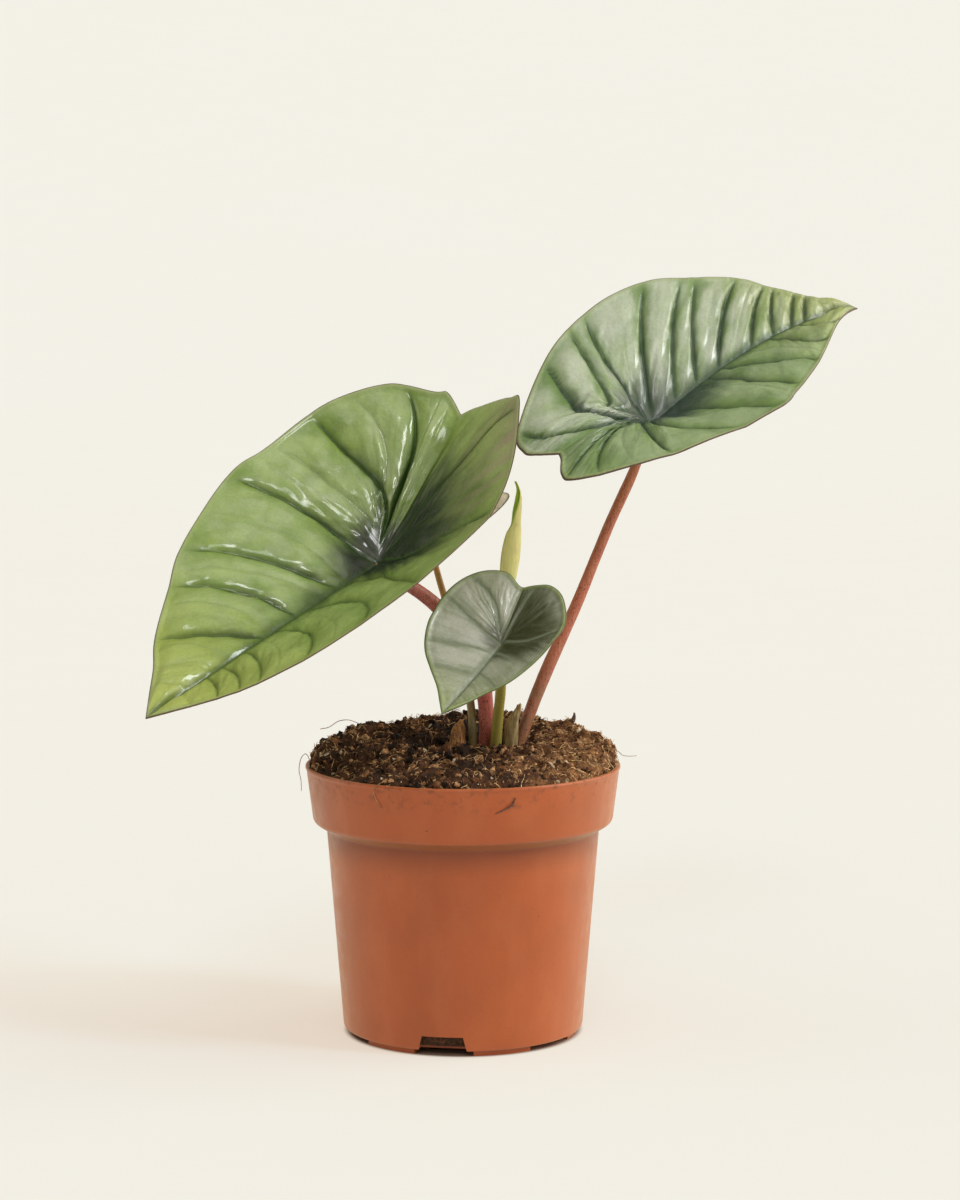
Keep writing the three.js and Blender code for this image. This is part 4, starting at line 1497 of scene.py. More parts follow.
LEFT_BLADE = Blade(
    "leaf_left", "blade_left", "leaf_left_skin", joint=(-31.7, -19.4, 181.7),
    tipward=(-0.64, -0.653, -0.405), faceward=(-0.086, -0.463, 0.882), midrib=(0.035, -0.007, 0.631, 0.076),
    thickness=0.8, keel=1.1, quilt=3.2, pitch=15.0, ridges=0.3, creases=0.12, wrinkles=0.22, puckers=0.34,
    dusk=0.7, seed=3,
    halves=(HalfBlade(
        side=1, fold=(0.16, 0.4, 0.455, -0.299, -0.175), dark=(1.0, 62, 24), puff=0.6, shine=0.1,
        blush=(9.0, 0.98, 1.1, 0.42),
        outline=(
            (122.3, 0), (111.5, 5.3), (105, 9.7), (99.5, 14.4), (92.5, 19.6), (83.5, 27.8), (71.5, 41.2),
            (64, 61.6), (58.5, 99), (60, 146.3), (60, 157), (55.5, 172.3), (53.5, 180),
        ),
        veins=(
            crease(0.85, 1.05), Vein(1.5, 1.95, 1, 0.6), Vein(1.88, 2.75, 1, 0.6), Vein(2.45, 3.45, 1, 0.6),
            crease(2.85, 3.95, 1.3), Vein(3.2, 4.7, 2.0, 0.7), crease(3.65, 5.25, 2.0),
            Vein(4.0, 5.85, 2.6, 0.7), Vein(5.2, 6.8, 2.0, 0.7), Vein(6.3, 7.85, 4.5),
            crease(8.5, 8.3, 2.0), Vein(11.2, 8.95, depth=1.5), crease(11.5, 9.9), crease(11.7, 10.9),
        ),
    ), HalfBlade(
        side=-1, fold=(0.207, 0.487, 0.251, -0.003, -0.165), dark=(0.95, 24, 34), shine=1.0,
        outline=(
            (122.3, 0), (111.5, 4.5), (103, 9), (94, 16.3), (80, 29.6), (71, 46), (61.5, 75.6), (57, 94.6),
            (57, 121), (57.5, 146.5), (56.5, 166), (57.5, 171.4), (53.5, 180),
        ),
        veins=(
            crease(1.0, 1.15), crease(1.85, 1.9), Vein(2.97, 2.97), crease(3.05, 3.7, 3.0),
            Vein(3.8, 4.13, 3.0), crease(4.6, 4.45), Vein(4.93, 4.94), crease(5.2, 5.5, 3.0),
            Vein(5.9, 6.05, 2.0, 1.2), crease(7.8, 7.12, 4.0, 0.8),
            Vein(11, 7.78, depth=1.3, bends=(
                (0.06, 10.8), (0.12, 10.2), (0.15, 9.5), (0.18, 8.95), (0.28, 8.6), (0.41, 8.28),
                (0.67, 7.94),
            )),
            Vein(11.05, 8.4, depth=0.8, main=False, bends=(
                (0.12, 10), (0.21, 9.35), (0.4, 9.2), (0.64, 8.84),
            )),
            Vein(11.1, 9.35, depth=1.5), crease(11.4, 10.4), crease(11.7, 11.3),
        ),
    )),
    skin=LeafSkin(
        name="left leaf face", body="#698235", light="#869d50", deep="#12240a", furrow="#2b4610",
        silver_and_sheen="#a3b384", bloom_and_sheen=0.32, tip="#a2ac55", satin=0.13, comb=0.3,
    ),
    under=UnderSkin("left leaf underside", "#8f9a68", "#b3a57c"),
)

RIGHT_BLADE = Blade(
    "leaf_right", "blade_right", "leaf_right_skin", joint=(71.3, 4.6, 232.2),
    tipward=(0.766, 0.638, 0.073), faceward=(0.203, -0.35, 0.915), midrib=(0.801, -0.404, 0.332, -0.542),
    thickness=0.8, keel=1.0, quilt=2.4, pitch=12.0, ridges=0.4, creases=0.3, wrinkles=0.3, puckers=0.22,
    dusk=0.65, seed=11,
    halves=(HalfBlade(
        side=1, fold=(0.347, 0.52, 0.072, 0.002, 0.131), dark=(0.8, 26, 26), shine=0.9,
        outline=(
            (98.6, 0), (82.5, 6.2), (75.5, 11), (69, 17.4), (64, 26), (54.5, 43.8), (51, 62.3), (48, 88),
            (47.5, 114.3), (51.5, 154), (52.5, 167), (49.5, 173), (44.5, 180),
        ),
        veins=(
            crease(1.15, 0.9), Vein(1.74, 1.32), Vein(2.12, 1.85), Vein(2.67, 2.7), Vein(3.32, 3.0, 0.5),
            crease(3.8, 3.5), Vein(4.22, 3.97, 0.45, 1.3), crease(4.5, 4.4), Vein(4.8, 4.8),
            Vein(5.35, 5.05, 0.6), Vein(5.93, 5.97, 1.0, 1.2), Vein(6.45, 7.12, 3.0, 1.2),
            Vein(11.5, 7.45, depth=0.9, bends=(
                (0.08, 9.7), (0.16, 8.4), (0.27, 7.95), (0.43, 7.75), (0.58, 7.6),
            )),
            Vein(11.9, 8.1, depth=1.5, bends=(
                (0.2, 11.7), (0.32, 11), (0.36, 10), (0.4, 9.2), (0.5, 8.7), (0.64, 8.45), (0.8, 8.25),
            )),
            Vein(11.95, 9, depth=1.3, bends=(
                (0.46, 11.75), (0.65, 11.25), (0.76, 10.64), (0.83, 9.85), (0.91, 9.3),
            )),
        ),
    ), HalfBlade(
        side=-1, fold=(0.263, 0.554, 0.237, 0.091, 0.038), dark=(1.0, 30, 44), shine=0.15,
        outline=(
            (98.6, 0), (80, 6.6), (60, 28.4), (54.5, 42.5), (51, 61.4), (50, 76), (48, 117.3),
            (49.5, 131.5), (52.5, 149.6), (54.5, 162.5), (52, 169), (46.5, 175.8), (44.5, 180),
        ),
        veins=(
            Vein(1.95, 0.95), Vein(2.85, 1.55), crease(3.5, 2.0), Vein(4.2, 2.5, 1.1), Vein(4.55, 3.65),
            crease(5.02, 4.1, 1.3), Vein(5.45, 4.9), Vein(6.9, 5.4, 1.4), Vein(7.4, 6.1, 0.5),
            crease(8.6, 7.3, 0.8), Vein(9.6, 8.15, 1, 0.7), Vein(10.7, 9.3, depth=0.8), crease(11.4, 10.6),
        ),
    )),
    skin=LeafSkin(
        name="right leaf face", body="#5d7a39", light="#849c62", deep="#1a3028", furrow="#1f3a22",
        silver_and_sheen="#adb6a2", bloom_and_sheen=0.75, tip="#959e57", satin=0.32, sheen=0.5, comb=0.6,
    ),
    under=UnderSkin("right leaf underside", "#8d9a6c", "#a99f7a"),
)

SMALL_BLADE = Blade(
    "leaf_small", "blade_small", "leaf_small_skin", joint=(14.2, -34.3, 153),
    tipward=(-0.457, -0.542, -0.705), faceward=(-0.233, -0.692, 0.683), midrib=(0.202, 0.072, 0.36, -0.05),
    thickness=0.7, keel=0.6, quilt=0.5, pitch=9.0, ridges=0.25, creases=0.08, wrinkles=0.05, puckers=0.22,
    dusk=0.18, columns=16, rows=40, seed=23,
    halves=(HalfBlade(
        side=1, fold=(0.218, 0.328, 0.149, -0.136, 0.078), dark=(1.0, 44, 15), shine=0.2,
        outline=(
            (41.6, 0), (37.3, 6), (33.2, 13.2), (29.7, 22.5), (28.2, 33.8), (26.5, 47.6), (25.2, 68.3),
            (25.4, 87.7), (26.3, 113.8), (27.7, 140.5), (27.2, 156.6), (24.5, 169), (22.3, 180),
        ),
        veins=(
            crease(1.6, 1.7), Vein(3.55, 3.6), Vein(5.3, 5.7), Vein(6.5, 7.9), crease(8.5, 9.3),
            Vein(11.6, 11.0, depth=1.5),
        ),
    ), HalfBlade(
        side=-1, fold=(0.273, 0.32, 0.243, -0.119, -0.044), dark=(0.7, 12, 8), shine=0.9,
        outline=(
            (41.6, 0), (36.7, 6), (31.8, 15), (28.5, 29.4), (27, 45.5), (25.8, 62), (25.3, 81.2),
            (25.8, 104.5), (26.8, 125.3), (27.2, 143.6), (26.3, 162), (22.4, 175), (22.3, 180),
        ),
        veins=(
            crease(1.8, 1.7), Vein(3.4, 3.3), Vein(5.25, 4.75), Vein(6.0, 7.05, 1.6), crease(8.4, 7.9),
            Vein(10.4, 8.4, 1.4, 1.5), crease(11.4, 10.2),
        ),
    )),
    skin=LeafSkin(
        name="small leaf face", body="#838b70", light="#a3a794", deep="#33361a", furrow="#7c8470",
        silver_and_sheen="#b4b5a8", bloom_and_sheen=0.8, tip="#8f9a66", margin="#4b5a2c", margin_highlight="#7f9150", satin=0.2, sheen=0.45,
        comb=0.3, rib_gloss=0.1,
    ),
    under=UnderSkin("small leaf underside", "#8b9471", "#a39a72"),
)

BACK_BLADE = Blade(
    "leaf_back", "blade_back", "leaf_back_skin", joint=(-13.6, 22.5, 186.8),
    tipward=(-0.835, 0.317, -0.45), faceward=(-0.28, 0.447, 0.84), midrib=(0.1, -0.15, 0.2, 0),
    thickness=0.7, keel=0.5, quilt=1.0, pitch=9.0, ridges=0.2, creases=0.1, wrinkles=0.05, puckers=0.12,
    dusk=0.5, columns=14, rows=32, seed=31,
    halves=tuple(
        HalfBlade(
            side=side, fold=(0.15, 0.3, 0.2, 0.0, 0.05), dark=(0.8, 20, 30),
            outline=(
                (66, 0), (56, 6), (48, 14), (41, 26), (36, 40), (33, 56), (31.5, 74), (31, 93),
                (31.5, 114), (34, 136), (35.5, 150), (32, 165), (25, 180),
            ),
            veins=(
                *(Vein(place, place) for place in range(1, 7)), Vein(7.2, 7), Vein(8.4, 8),
                Vein(10.5, 9, depth=1.4), crease(11, 10), crease(11.5, 11),
            ),
        )
        for side in (1, -1)
    ),
    skin=LeafSkin(
        name="back leaf face", body="#5f7c33", light="#7d9048", deep="#22300f", furrow="#33481c",
        silver_and_sheen="#8f9a7c", bloom_and_sheen=0.4,
    ),
    under=UnderSkin("back leaf underside", "#cbc4a9", "#a8987a"),
)


# Stalks, roll and sheath


@dataclass(frozen=True)
class Stalk:
    """A stalk along a path.

    Attributes:
        name: The piece's name.
        node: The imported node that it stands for.
        slot: The record's material slot.
        path: Its corners.
        radii: Radii at even steps from its foot to its head.
        skin: Its finish.
        unevenness: How far its surface strays, in millimetres.
        points: Rings along it.
        sides: Points round each ring.
    """

    name: str
    node: str
    slot: str
    path: tuple[Triple, ...]
    radii: tuple[float, ...]
    skin: StalkSkin | PaperSkin
    unevenness: float = 0.25
    points: int = 90
    sides: int = 20

    def build(self, tree: Tree) -> None:
        """Sweeps and dresses the stalk.

        Args:
            tree: The tree that sweeps stalks along lines.
        """
        host = lines_host(self.name, [route(self.path, self.points)], [np.array(self.radii)])
        piece = tree.grow(host, self.name, {
            "Sides": self.sides,
            "Unevenness": self.unevenness * MM,
            "Fineness": 160.0,
            "Seed": 1,
            "Finish": self.skin.build(),
        })
        present(piece, self.slot, self.node)


def lines_host(name: str, lines: list[Array], radii: list[Array]) -> Piece:
    """Lines of points with a girth and a share of the way along for each, for the stalk tree.

    Args:
        name: The object's name.
        lines: The points of each line.
        radii: Radii at even steps along each line.

    Returns:
        The object.
    """
    mesh = bpy.data.meshes.new(name + " lines")
    edges, girths, shares, start = [], [], [], 0
    for line, radius in zip(lines, radii):
        along = np.linspace(0, 1, len(line))
        edges += [(start + i, start + i + 1) for i in range(len(line) - 1)]
        girths.append(spline(radius[:, None], along * (len(radius) - 1))[:, 0] * MM)
        shares.append(along)
        start += len(line)
    mesh.from_pydata((np.vstack(lines) * MM).tolist(), edges, [])
    for label, values in (("girth", girths), ("along", shares)):
        numbers = np.concatenate(values).astype(np.float32)
        mesh.attributes.new(label, "FLOAT", "POINT").data.foreach_set("value", numbers)
    return stand(name + " lines", mesh)


# Height of the stalks' feet on the rhizome, and depth of a petiole's end under the blade's face
CROWN_END = 97.35
SINK = 0.3


def up_to(blade: Blade, radius: float, *path: Triple) -> tuple[Triple, ...]:
    """A petiole's path, its end inside the keel of the blade that it carries with this radius."""
    return *path, blade.below_joint(blade.thickness + blade.keel + 0.55 * radius), blade.below_joint(SINK)


def stalks() -> list[Stalk]:
    """Lists every stalk of the plant.

    Returns:
        The stalks, from the left leaf's to the old stub.
    """
    return [
        Stalk(
            "stalk_left", "petiole_left", "petiole_left_skin",
            path=up_to(
                LEFT_BLADE, 2.3, (8.2, 2.5, CROWN_END), (8.2, 2.5, 103), (8.4, 2.4, 108), (8.9, 1.2, 120),
                (7.6, -1.8, 133), (1.2, -7.6, 150.5), (-10.2, -13, 165.2), (-20.5, -16.4, 173.2),
            ),
            radii=(2.5, 2.6, 3, 3.4, 3.2, 2.8, 2.4, 1.2),
            skin=StalkSkin("left stalk skin", "#b8685a", "#b0554a", "#96503f", "#54161a", 1.0, "#c08068"),
        ),
        Stalk(
            "stalk_right", "petiole_right", "petiole_right_skin",
            path=up_to(
                RIGHT_BLADE, 1.9, (18.8, 0, CROWN_END), (19.2, 0, 102), (20, 0, 105.8), (22.5, 0.7, 113.8),
                (29.7, 2, 133.2), (43.9, 3.3, 165.3), (56, 4.7, 194.9), (64, 5.4, 212.5),
            ),
            radii=(2.2, 2.3, 2.5, 2.3, 2.1, 2, 1.95, 1.0),
            skin=StalkSkin("right stalk skin", "#8c6142", "#a85c42", "#ac633f", "#6a2416", 1.0, "#bf8462"),
        ),
        Stalk(
            "stalk_small", "petiole_small", "petiole_green_skin",
            path=up_to(
                SMALL_BLADE, 1.3, (12.3, -2.2, CROWN_END), (12.3, -2.2, 103), (12.4, -2.4, 108.3),
                (13.2, -5, 120.2), (14.6, -13, 134.6), (14.8, -23, 144.5),
            ),
            radii=(2.1, 2.2, 2.1, 1.9, 1.6, 1.35, 0.8),
            skin=StalkSkin("small stalk skin", "#8a7b3a", "#93883b", "#978b3a", "#64562a", 0.4, "#a89c4e"),
        ),
        Stalk(
            "stalk_back", "petiole_back", "petiole_back_skin",
            path=up_to(
                BACK_BLADE, 1.2, (4.2, -1.6, CROWN_END), (4.2, -1.6, 103), (3.9, -1.2, 108),
                (3, 1.5, 124.9), (-2.2, 9, 148), (-8, 15, 168), (-10.2, 17.6, 175.5),
            ),
            radii=(1.5, 1.55, 1.55, 1.5, 1.4, 1.3, 1.2, 0.7),
            skin=StalkSkin("back stalk skin", "#6e6139", "#8b7138", "#ad7434", "#4a3a1d", 0.5, "#97854c"),
        ),
        Stalk(
            "stalk_young", "rolled_leaf_stalk", "petiole_green_skin",
            path=(
                (12.6, 7, CROWN_END), (12.6, 7, 104), (12.8, 7.2, 112), (13.8, 7.8, 128), (15, 8, 145),
                (15.8, 8, 156.5), (16.1, 8, 162),
            ),
            radii=(1.6, 1.6, 1.6, 1.6, 1.65, 1.6, 1.3),
            skin=StalkSkin("young stalk skin", "#98914a", "#a3a24e", "#b0ac57", "#756a35", 0.25, "#b9b76c"),
        ),
        Stalk(
            "stub_dry", "old_stub", "old_stalk",
            path=(
                (-1.9, -2.6, 101), (-1.9, -2.8, 107), (-2.1, -3, 113), (-1.2, -3, 117.5),
                (-0.4, -2.8, 120.2),
            ),
            radii=(3.1, 3.6, 3.5, 3.1, 2.4, 0.8),
            skin=PaperSkin("old stub tissue", "#b07a42", "#6a4322", "#412917", 0.5, 0.8),
            unevenness=2.2, points=60, sides=36,
        ),
    ]


def wound(at: Array, angle: Array, radius: Array, flesh: Array, lift: Array) -> Mesh:
    """A sheet wound about a line of centres, from a grid of columns and rows.

    Args:
        at: Centre of each point.
        angle: Its turn about +Z from +X.
        radius: How far out its outer face lies.
        flesh: The sheet's thickness there.
        lift: How much higher than its centre it lies.

    Returns:
        The mesh, closed round its edges.
    """
    sides = []
    for reach in (radius, radius - flesh):
        bend = np.stack([np.cos(angle) * reach, np.sin(angle) * reach, lift], -1)
        sides.append((at[..., :3] + bend).reshape(-1, 3))
    points = np.vstack(sides)
    return Mesh(points, outward(points, sheet_faces(*angle.shape)))


@dataclass(frozen=True)
class RolledLeaf:
    """The young leaf, still rolled round itself.

    Attributes:
        stations: Centre and radius of the roll from its foot to its tip.
        turns: How often the flesh goes round.
        seam: Where its free edge lies at even steps from foot to tip, in degrees about +Z from +X.
        thickness: Thickness of the flesh.
        lift: How much higher the foot of the free edge starts.
        around: Points round the roll.
        rows: Points up the roll.
    """

    stations: tuple[Quad, ...] = (
        (15.9, 8, 160, 1.9), (16.5, 8, 168, 3.1), (17.7, 8, 177, 3.9), (18.4, 8, 184, 4.0),
        (19.2, 8, 190.4, 3.4), (20, 8, 194, 2.5), (20.4, 8, 199, 2.2), (20.9, 8, 203.4, 1.7),
        (21, 8, 207, 0.9), (19.9, 8, 210.2, 0.5),
    )
    turns: float = 1.3
    seam: tuple[float, ...] = (196.0, 198.0, 205.0, 222.0, 262.0, 300.0, 320.0)
    thickness: float = 0.5
    lift: float = 3.6
    around: int = 90
    rows: int = 80

    def build(self) -> None:
        """Winds a sheet into a spiral that narrows to its tip, and dresses it."""
        turn, up = np.meshgrid(np.linspace(0, 1, self.around), np.linspace(0, 1, self.rows), indexing="ij")
        at = spline(np.array(self.stations, float), up * (len(self.stations) - 1))
        radius = at[..., 3] * (1 + 0.03 * lumps(turn * 5, up * 9, 4))
        pitch = np.minimum(1.0, radius * 0.5)
        reach = radius - pitch * turn * self.turns
        seam = spline(np.array(self.seam)[:, None], up * (len(self.seam) - 1))[..., 0]
        angle = np.radians(seam + turn * self.turns * 360)
        lift = self.lift * np.clip(1 - turn * self.turns / 0.75, 0, 1) * (1 - smooth(0, 0.22, up))
        edge = smooth(0, 0.06, turn) * smooth(0, 0.06, 1 - turn)
        flesh = np.minimum(self.thickness, radius * 0.34) * (0.3 + 0.7 * edge)
        mesh = wound(at, angle, reach, flesh, lift)
        marks = np.stack([turn, up, np.zeros_like(up), np.ones_like(up)], -1).reshape(-1, 4)
        mesh.marks = {"turns": np.vstack([marks, marks])}
        piece = mesh.build("leaf_rolled", [YoungSkin().build()], THIN_EDGE)
        present(piece, "young_leaf_skin", "rolled_leaf")


@dataclass(frozen=True)
class Sheath:
    """The papery sheath round the foot of the right leaf's petiole.

    Attributes:
        stations: Centre, radius and the two angles of its open section, from foot to top.
        thickness: Thickness of the paper.
        fray: How far its top edge is torn.
        slant: How much lower its top is on the far side.
        around: Points round it.
        rows: Points up it.
        skin: Its finish.
    """

    stations: tuple[tuple[float, ...], ...] = (
        (18.6, -0.3, 101, 3.4, 112, 300), (18.7, -0.3, 108, 3.5, 112, 303),
        (19.1, -0.4, 114, 3.6, 116, 303), (19.6, -0.6, 119, 3.6, 124, 296),
        (20.4, -1, 123.4, 3.2, 136, 300), (21.2, -1.4, 127, 2.3, 146, 298),
    )
    thickness: float = 0.5
    fray: float = 1.2
    slant: float = 6.0
    around: int = 48
    rows: int = 60
    skin: PaperSkin = PaperSkin("sheath paper", "#ac9768", "#86704a", "#6a4630", 0.7, 0.25)

    def build(self) -> None:
        """Builds and dresses the sheath."""
        turn, up = np.meshgrid(np.linspace(0, 1, self.around), np.linspace(0, 1, self.rows), indexing="ij")
        at = spline(np.array(self.stations, float), up * (len(self.stations) - 1))
        angle = np.radians(at[..., 4] + (at[..., 5] - at[..., 4]) * turn)
        radius = at[..., 3] + 0.18 * lumps(turn * 9, up * 5, 2) + 0.08 * lumps(turn * 26, up * 7, 6)
        torn = -self.fray * smooth(0.8, 1, up) * (0.5 + 0.5 * lumps(turn * 11, up * 0, 9))
        torn -= self.slant * smooth(0.45, 1, up) * (1 - turn) ** 1.5
        flesh = self.thickness * smooth(0, 0.08, turn) * smooth(0, 0.08, 1 - turn) * (1 - 0.6 * up) + 0.08
        piece = wound(at, angle, radius, flesh, torn).build("sheath_paper", [self.skin.build()], THIN_EDGE)
        present(piece, "sheath_paper", "sheath")


# Pot


@dataclass(frozen=True)
class Pot:
    """The moulded pot: one wall and floor, six low feet and three drain notches.

    Attributes:
        profile: Radius, height and rounding of each corner of its section, out from the axis and back.
        facets: Flats round it.
        feet: How many feet it has.
        foot_radii: Inner and outer radius of a foot.
        foot_span: Degrees that a foot takes.
        first_gap: Where the first gap between feet is, in degrees from the front towards +X.
        foot_height: Height of the floor over the feet's plane.
        notch: Width at the top and at the foot, height and depth of a drain notch.
    """

    profile: tuple[Triple, ...] = (
        (0, 0, 0), (14, 0, 0.6), (17, 2, 0.6), (45.8, 2, 1.2), (52, 78.7, 0.9), (57.1, 81.8, 1.4),
        (59.6, 101.4, 0.5), (60.1, 102.2, 0.3), (59.85, 103, 0.25), (58.4, 103, 0.3), (55.9, 82.4, 1.0),
        (50.8, 79.3, 0.8), (44.6, 3.4, 1.0), (18.2, 3.4, 0.6), (15.2, 1.4, 0.5), (0, 1.4, 0),
    )
    facets: int = 240
    feet: int = 6
    foot_radii: Pair = (40.8, 43.6)
    foot_span: float = 30.0
    first_gap: float = -9.5
    foot_height: float = 2.0
    notch: Quad = (15.6, 19.4, 7.6, 9.0)

    def section(self) -> Array:
        """The profile with its corners rounded.

        Returns:
            Radius and height of each point.
        """
        corners = np.array(self.profile, float)
        points, shares = [corners[0, :2]], np.linspace(0, 1, 5)
        for i in range(1, len(corners) - 1):
            corner, radius = corners[i, :2], corners[i, 2]
            into, out = corners[i - 1, :2] - corner, corners[i + 1, :2] - corner
            reach = min(radius, np.linalg.norm(into) * 0.45, np.linalg.norm(out) * 0.45)
            start = corner + into / np.linalg.norm(into) * reach
            end = corner + out / np.linalg.norm(out) * reach
            points += [(1 - t) ** 2 * start + 2 * t * (1 - t) * corner + t * t * end for t in shares]
        points.append(corners[-1, :2])
        return np.array(points)

    def shell(self) -> Mesh:
        """The section turned about the pot's axis.

        Returns:
            The mesh.
        """
        section = self.section()
        ring = section[1:-1]
        angle = np.linspace(0, math.tau, self.facets, endpoint=False)[:, None]
        spun = np.stack([ring[:, 0] * np.cos(angle), ring[:, 0] * np.sin(angle), ring[:, 1] + 0 * angle], -1)
        points = np.vstack([spun.reshape(-1, 3), [[0, 0, section[0, 1]], [0, 0, section[-1, 1]]]])
        return Mesh(points, outward(points, turned_faces(self.facets, len(ring))))

    def foot(self, angle: float) -> Mesh:
        """One foot, an arc under the floor's edge.

        Args:
            angle: Its middle, in degrees from the front towards +X.

        Returns:
            The mesh.
        """
        steps = 14
        turn = np.radians(angle - 90 + np.linspace(-self.foot_span / 2, self.foot_span / 2, steps))
        loops = []
        for height in (0.0, self.foot_height + 0.7):
            inner, outer = (
                np.stack([radius * np.cos(turn), radius * np.sin(turn), 0 * turn + height], 1)
                for radius in self.foot_radii
            )
            loops.append(np.vstack([outer, inner[::-1]]))
        return prism(loops[0], loops[1])

    def notch_cutter(self, angle: float) -> Mesh:
        """What a drain notch takes out of the wall and the floor's edge.

        Args:
            angle: Its middle, in degrees from the front towards +X.

        Returns:
            The mesh.
        """
        top, foot, height, depth = self.notch
        drop = 3.0
        flare = foot + (foot - top) / height * drop
        outline = ((-flare / 2, -drop), (flare / 2, -drop), (top / 2, height), (-top / 2, height))
        middle = self.profile[3][0] - depth / 6
        across, along = math.cos(math.radians(angle)), math.sin(math.radians(angle))
        outer, inner = (
            np.array([(x * across + radius * along, x * along - radius * across, z) for x, z in outline])
            for radius in (middle + depth / 2, middle - depth / 2)
        )
        return prism(outer, inner)

    def build(self) -> None:
        """Turns, cuts and dresses the pot."""
        finish = PotPlastic().build()
        shell = self.shell().build("pot shell", [finish])
        pitch = 360 / self.feet
        tools = []
        for i in range(self.feet):
            tools.append((self.foot(self.first_gap + pitch * (i + 0.5)), "UNION"))
            if i % 2 == 0:
                tools.append((self.notch_cutter(self.first_gap + pitch * i), "DIFFERENCE"))
        cutters = []
        for mesh, operation in tools:
            cutter = mesh.build("pot tool", [finish])
            modifier = shell.modifiers.new("cut", "BOOLEAN")
            modifier.operation = operation
            modifier.solver = "MANIFOLD"
            modifier.object = cutter
            cutters.append(cutter)
        piece = flatten(shell, "pot_moulded")
        for cutter in cutters:
            bpy.data.objects.remove(cutter)
        piece.data.shade_smooth()
        piece.data.set_sharp_from_angle(angle=math.radians(MOULDED_EDGE))
        present(piece, "pot_plastic", "pot")


def prism(first: Array, last: Array) -> Mesh:
    """A solid between two like outlines.

    Args:
        first: Points of the one outline.
        last: Points of the other.

    Returns:
        The mesh.
    """
    count = len(first)
    points = np.vstack([first, last])
    faces = [tuple(range(count - 1, -1, -1)), tuple(range(count, 2 * count))]
    faces += [(i, (i + 1) % count, (i + 1) % count + count, i + count) for i in range(count)]
    return Mesh(points, outward(points, faces))


# Peat


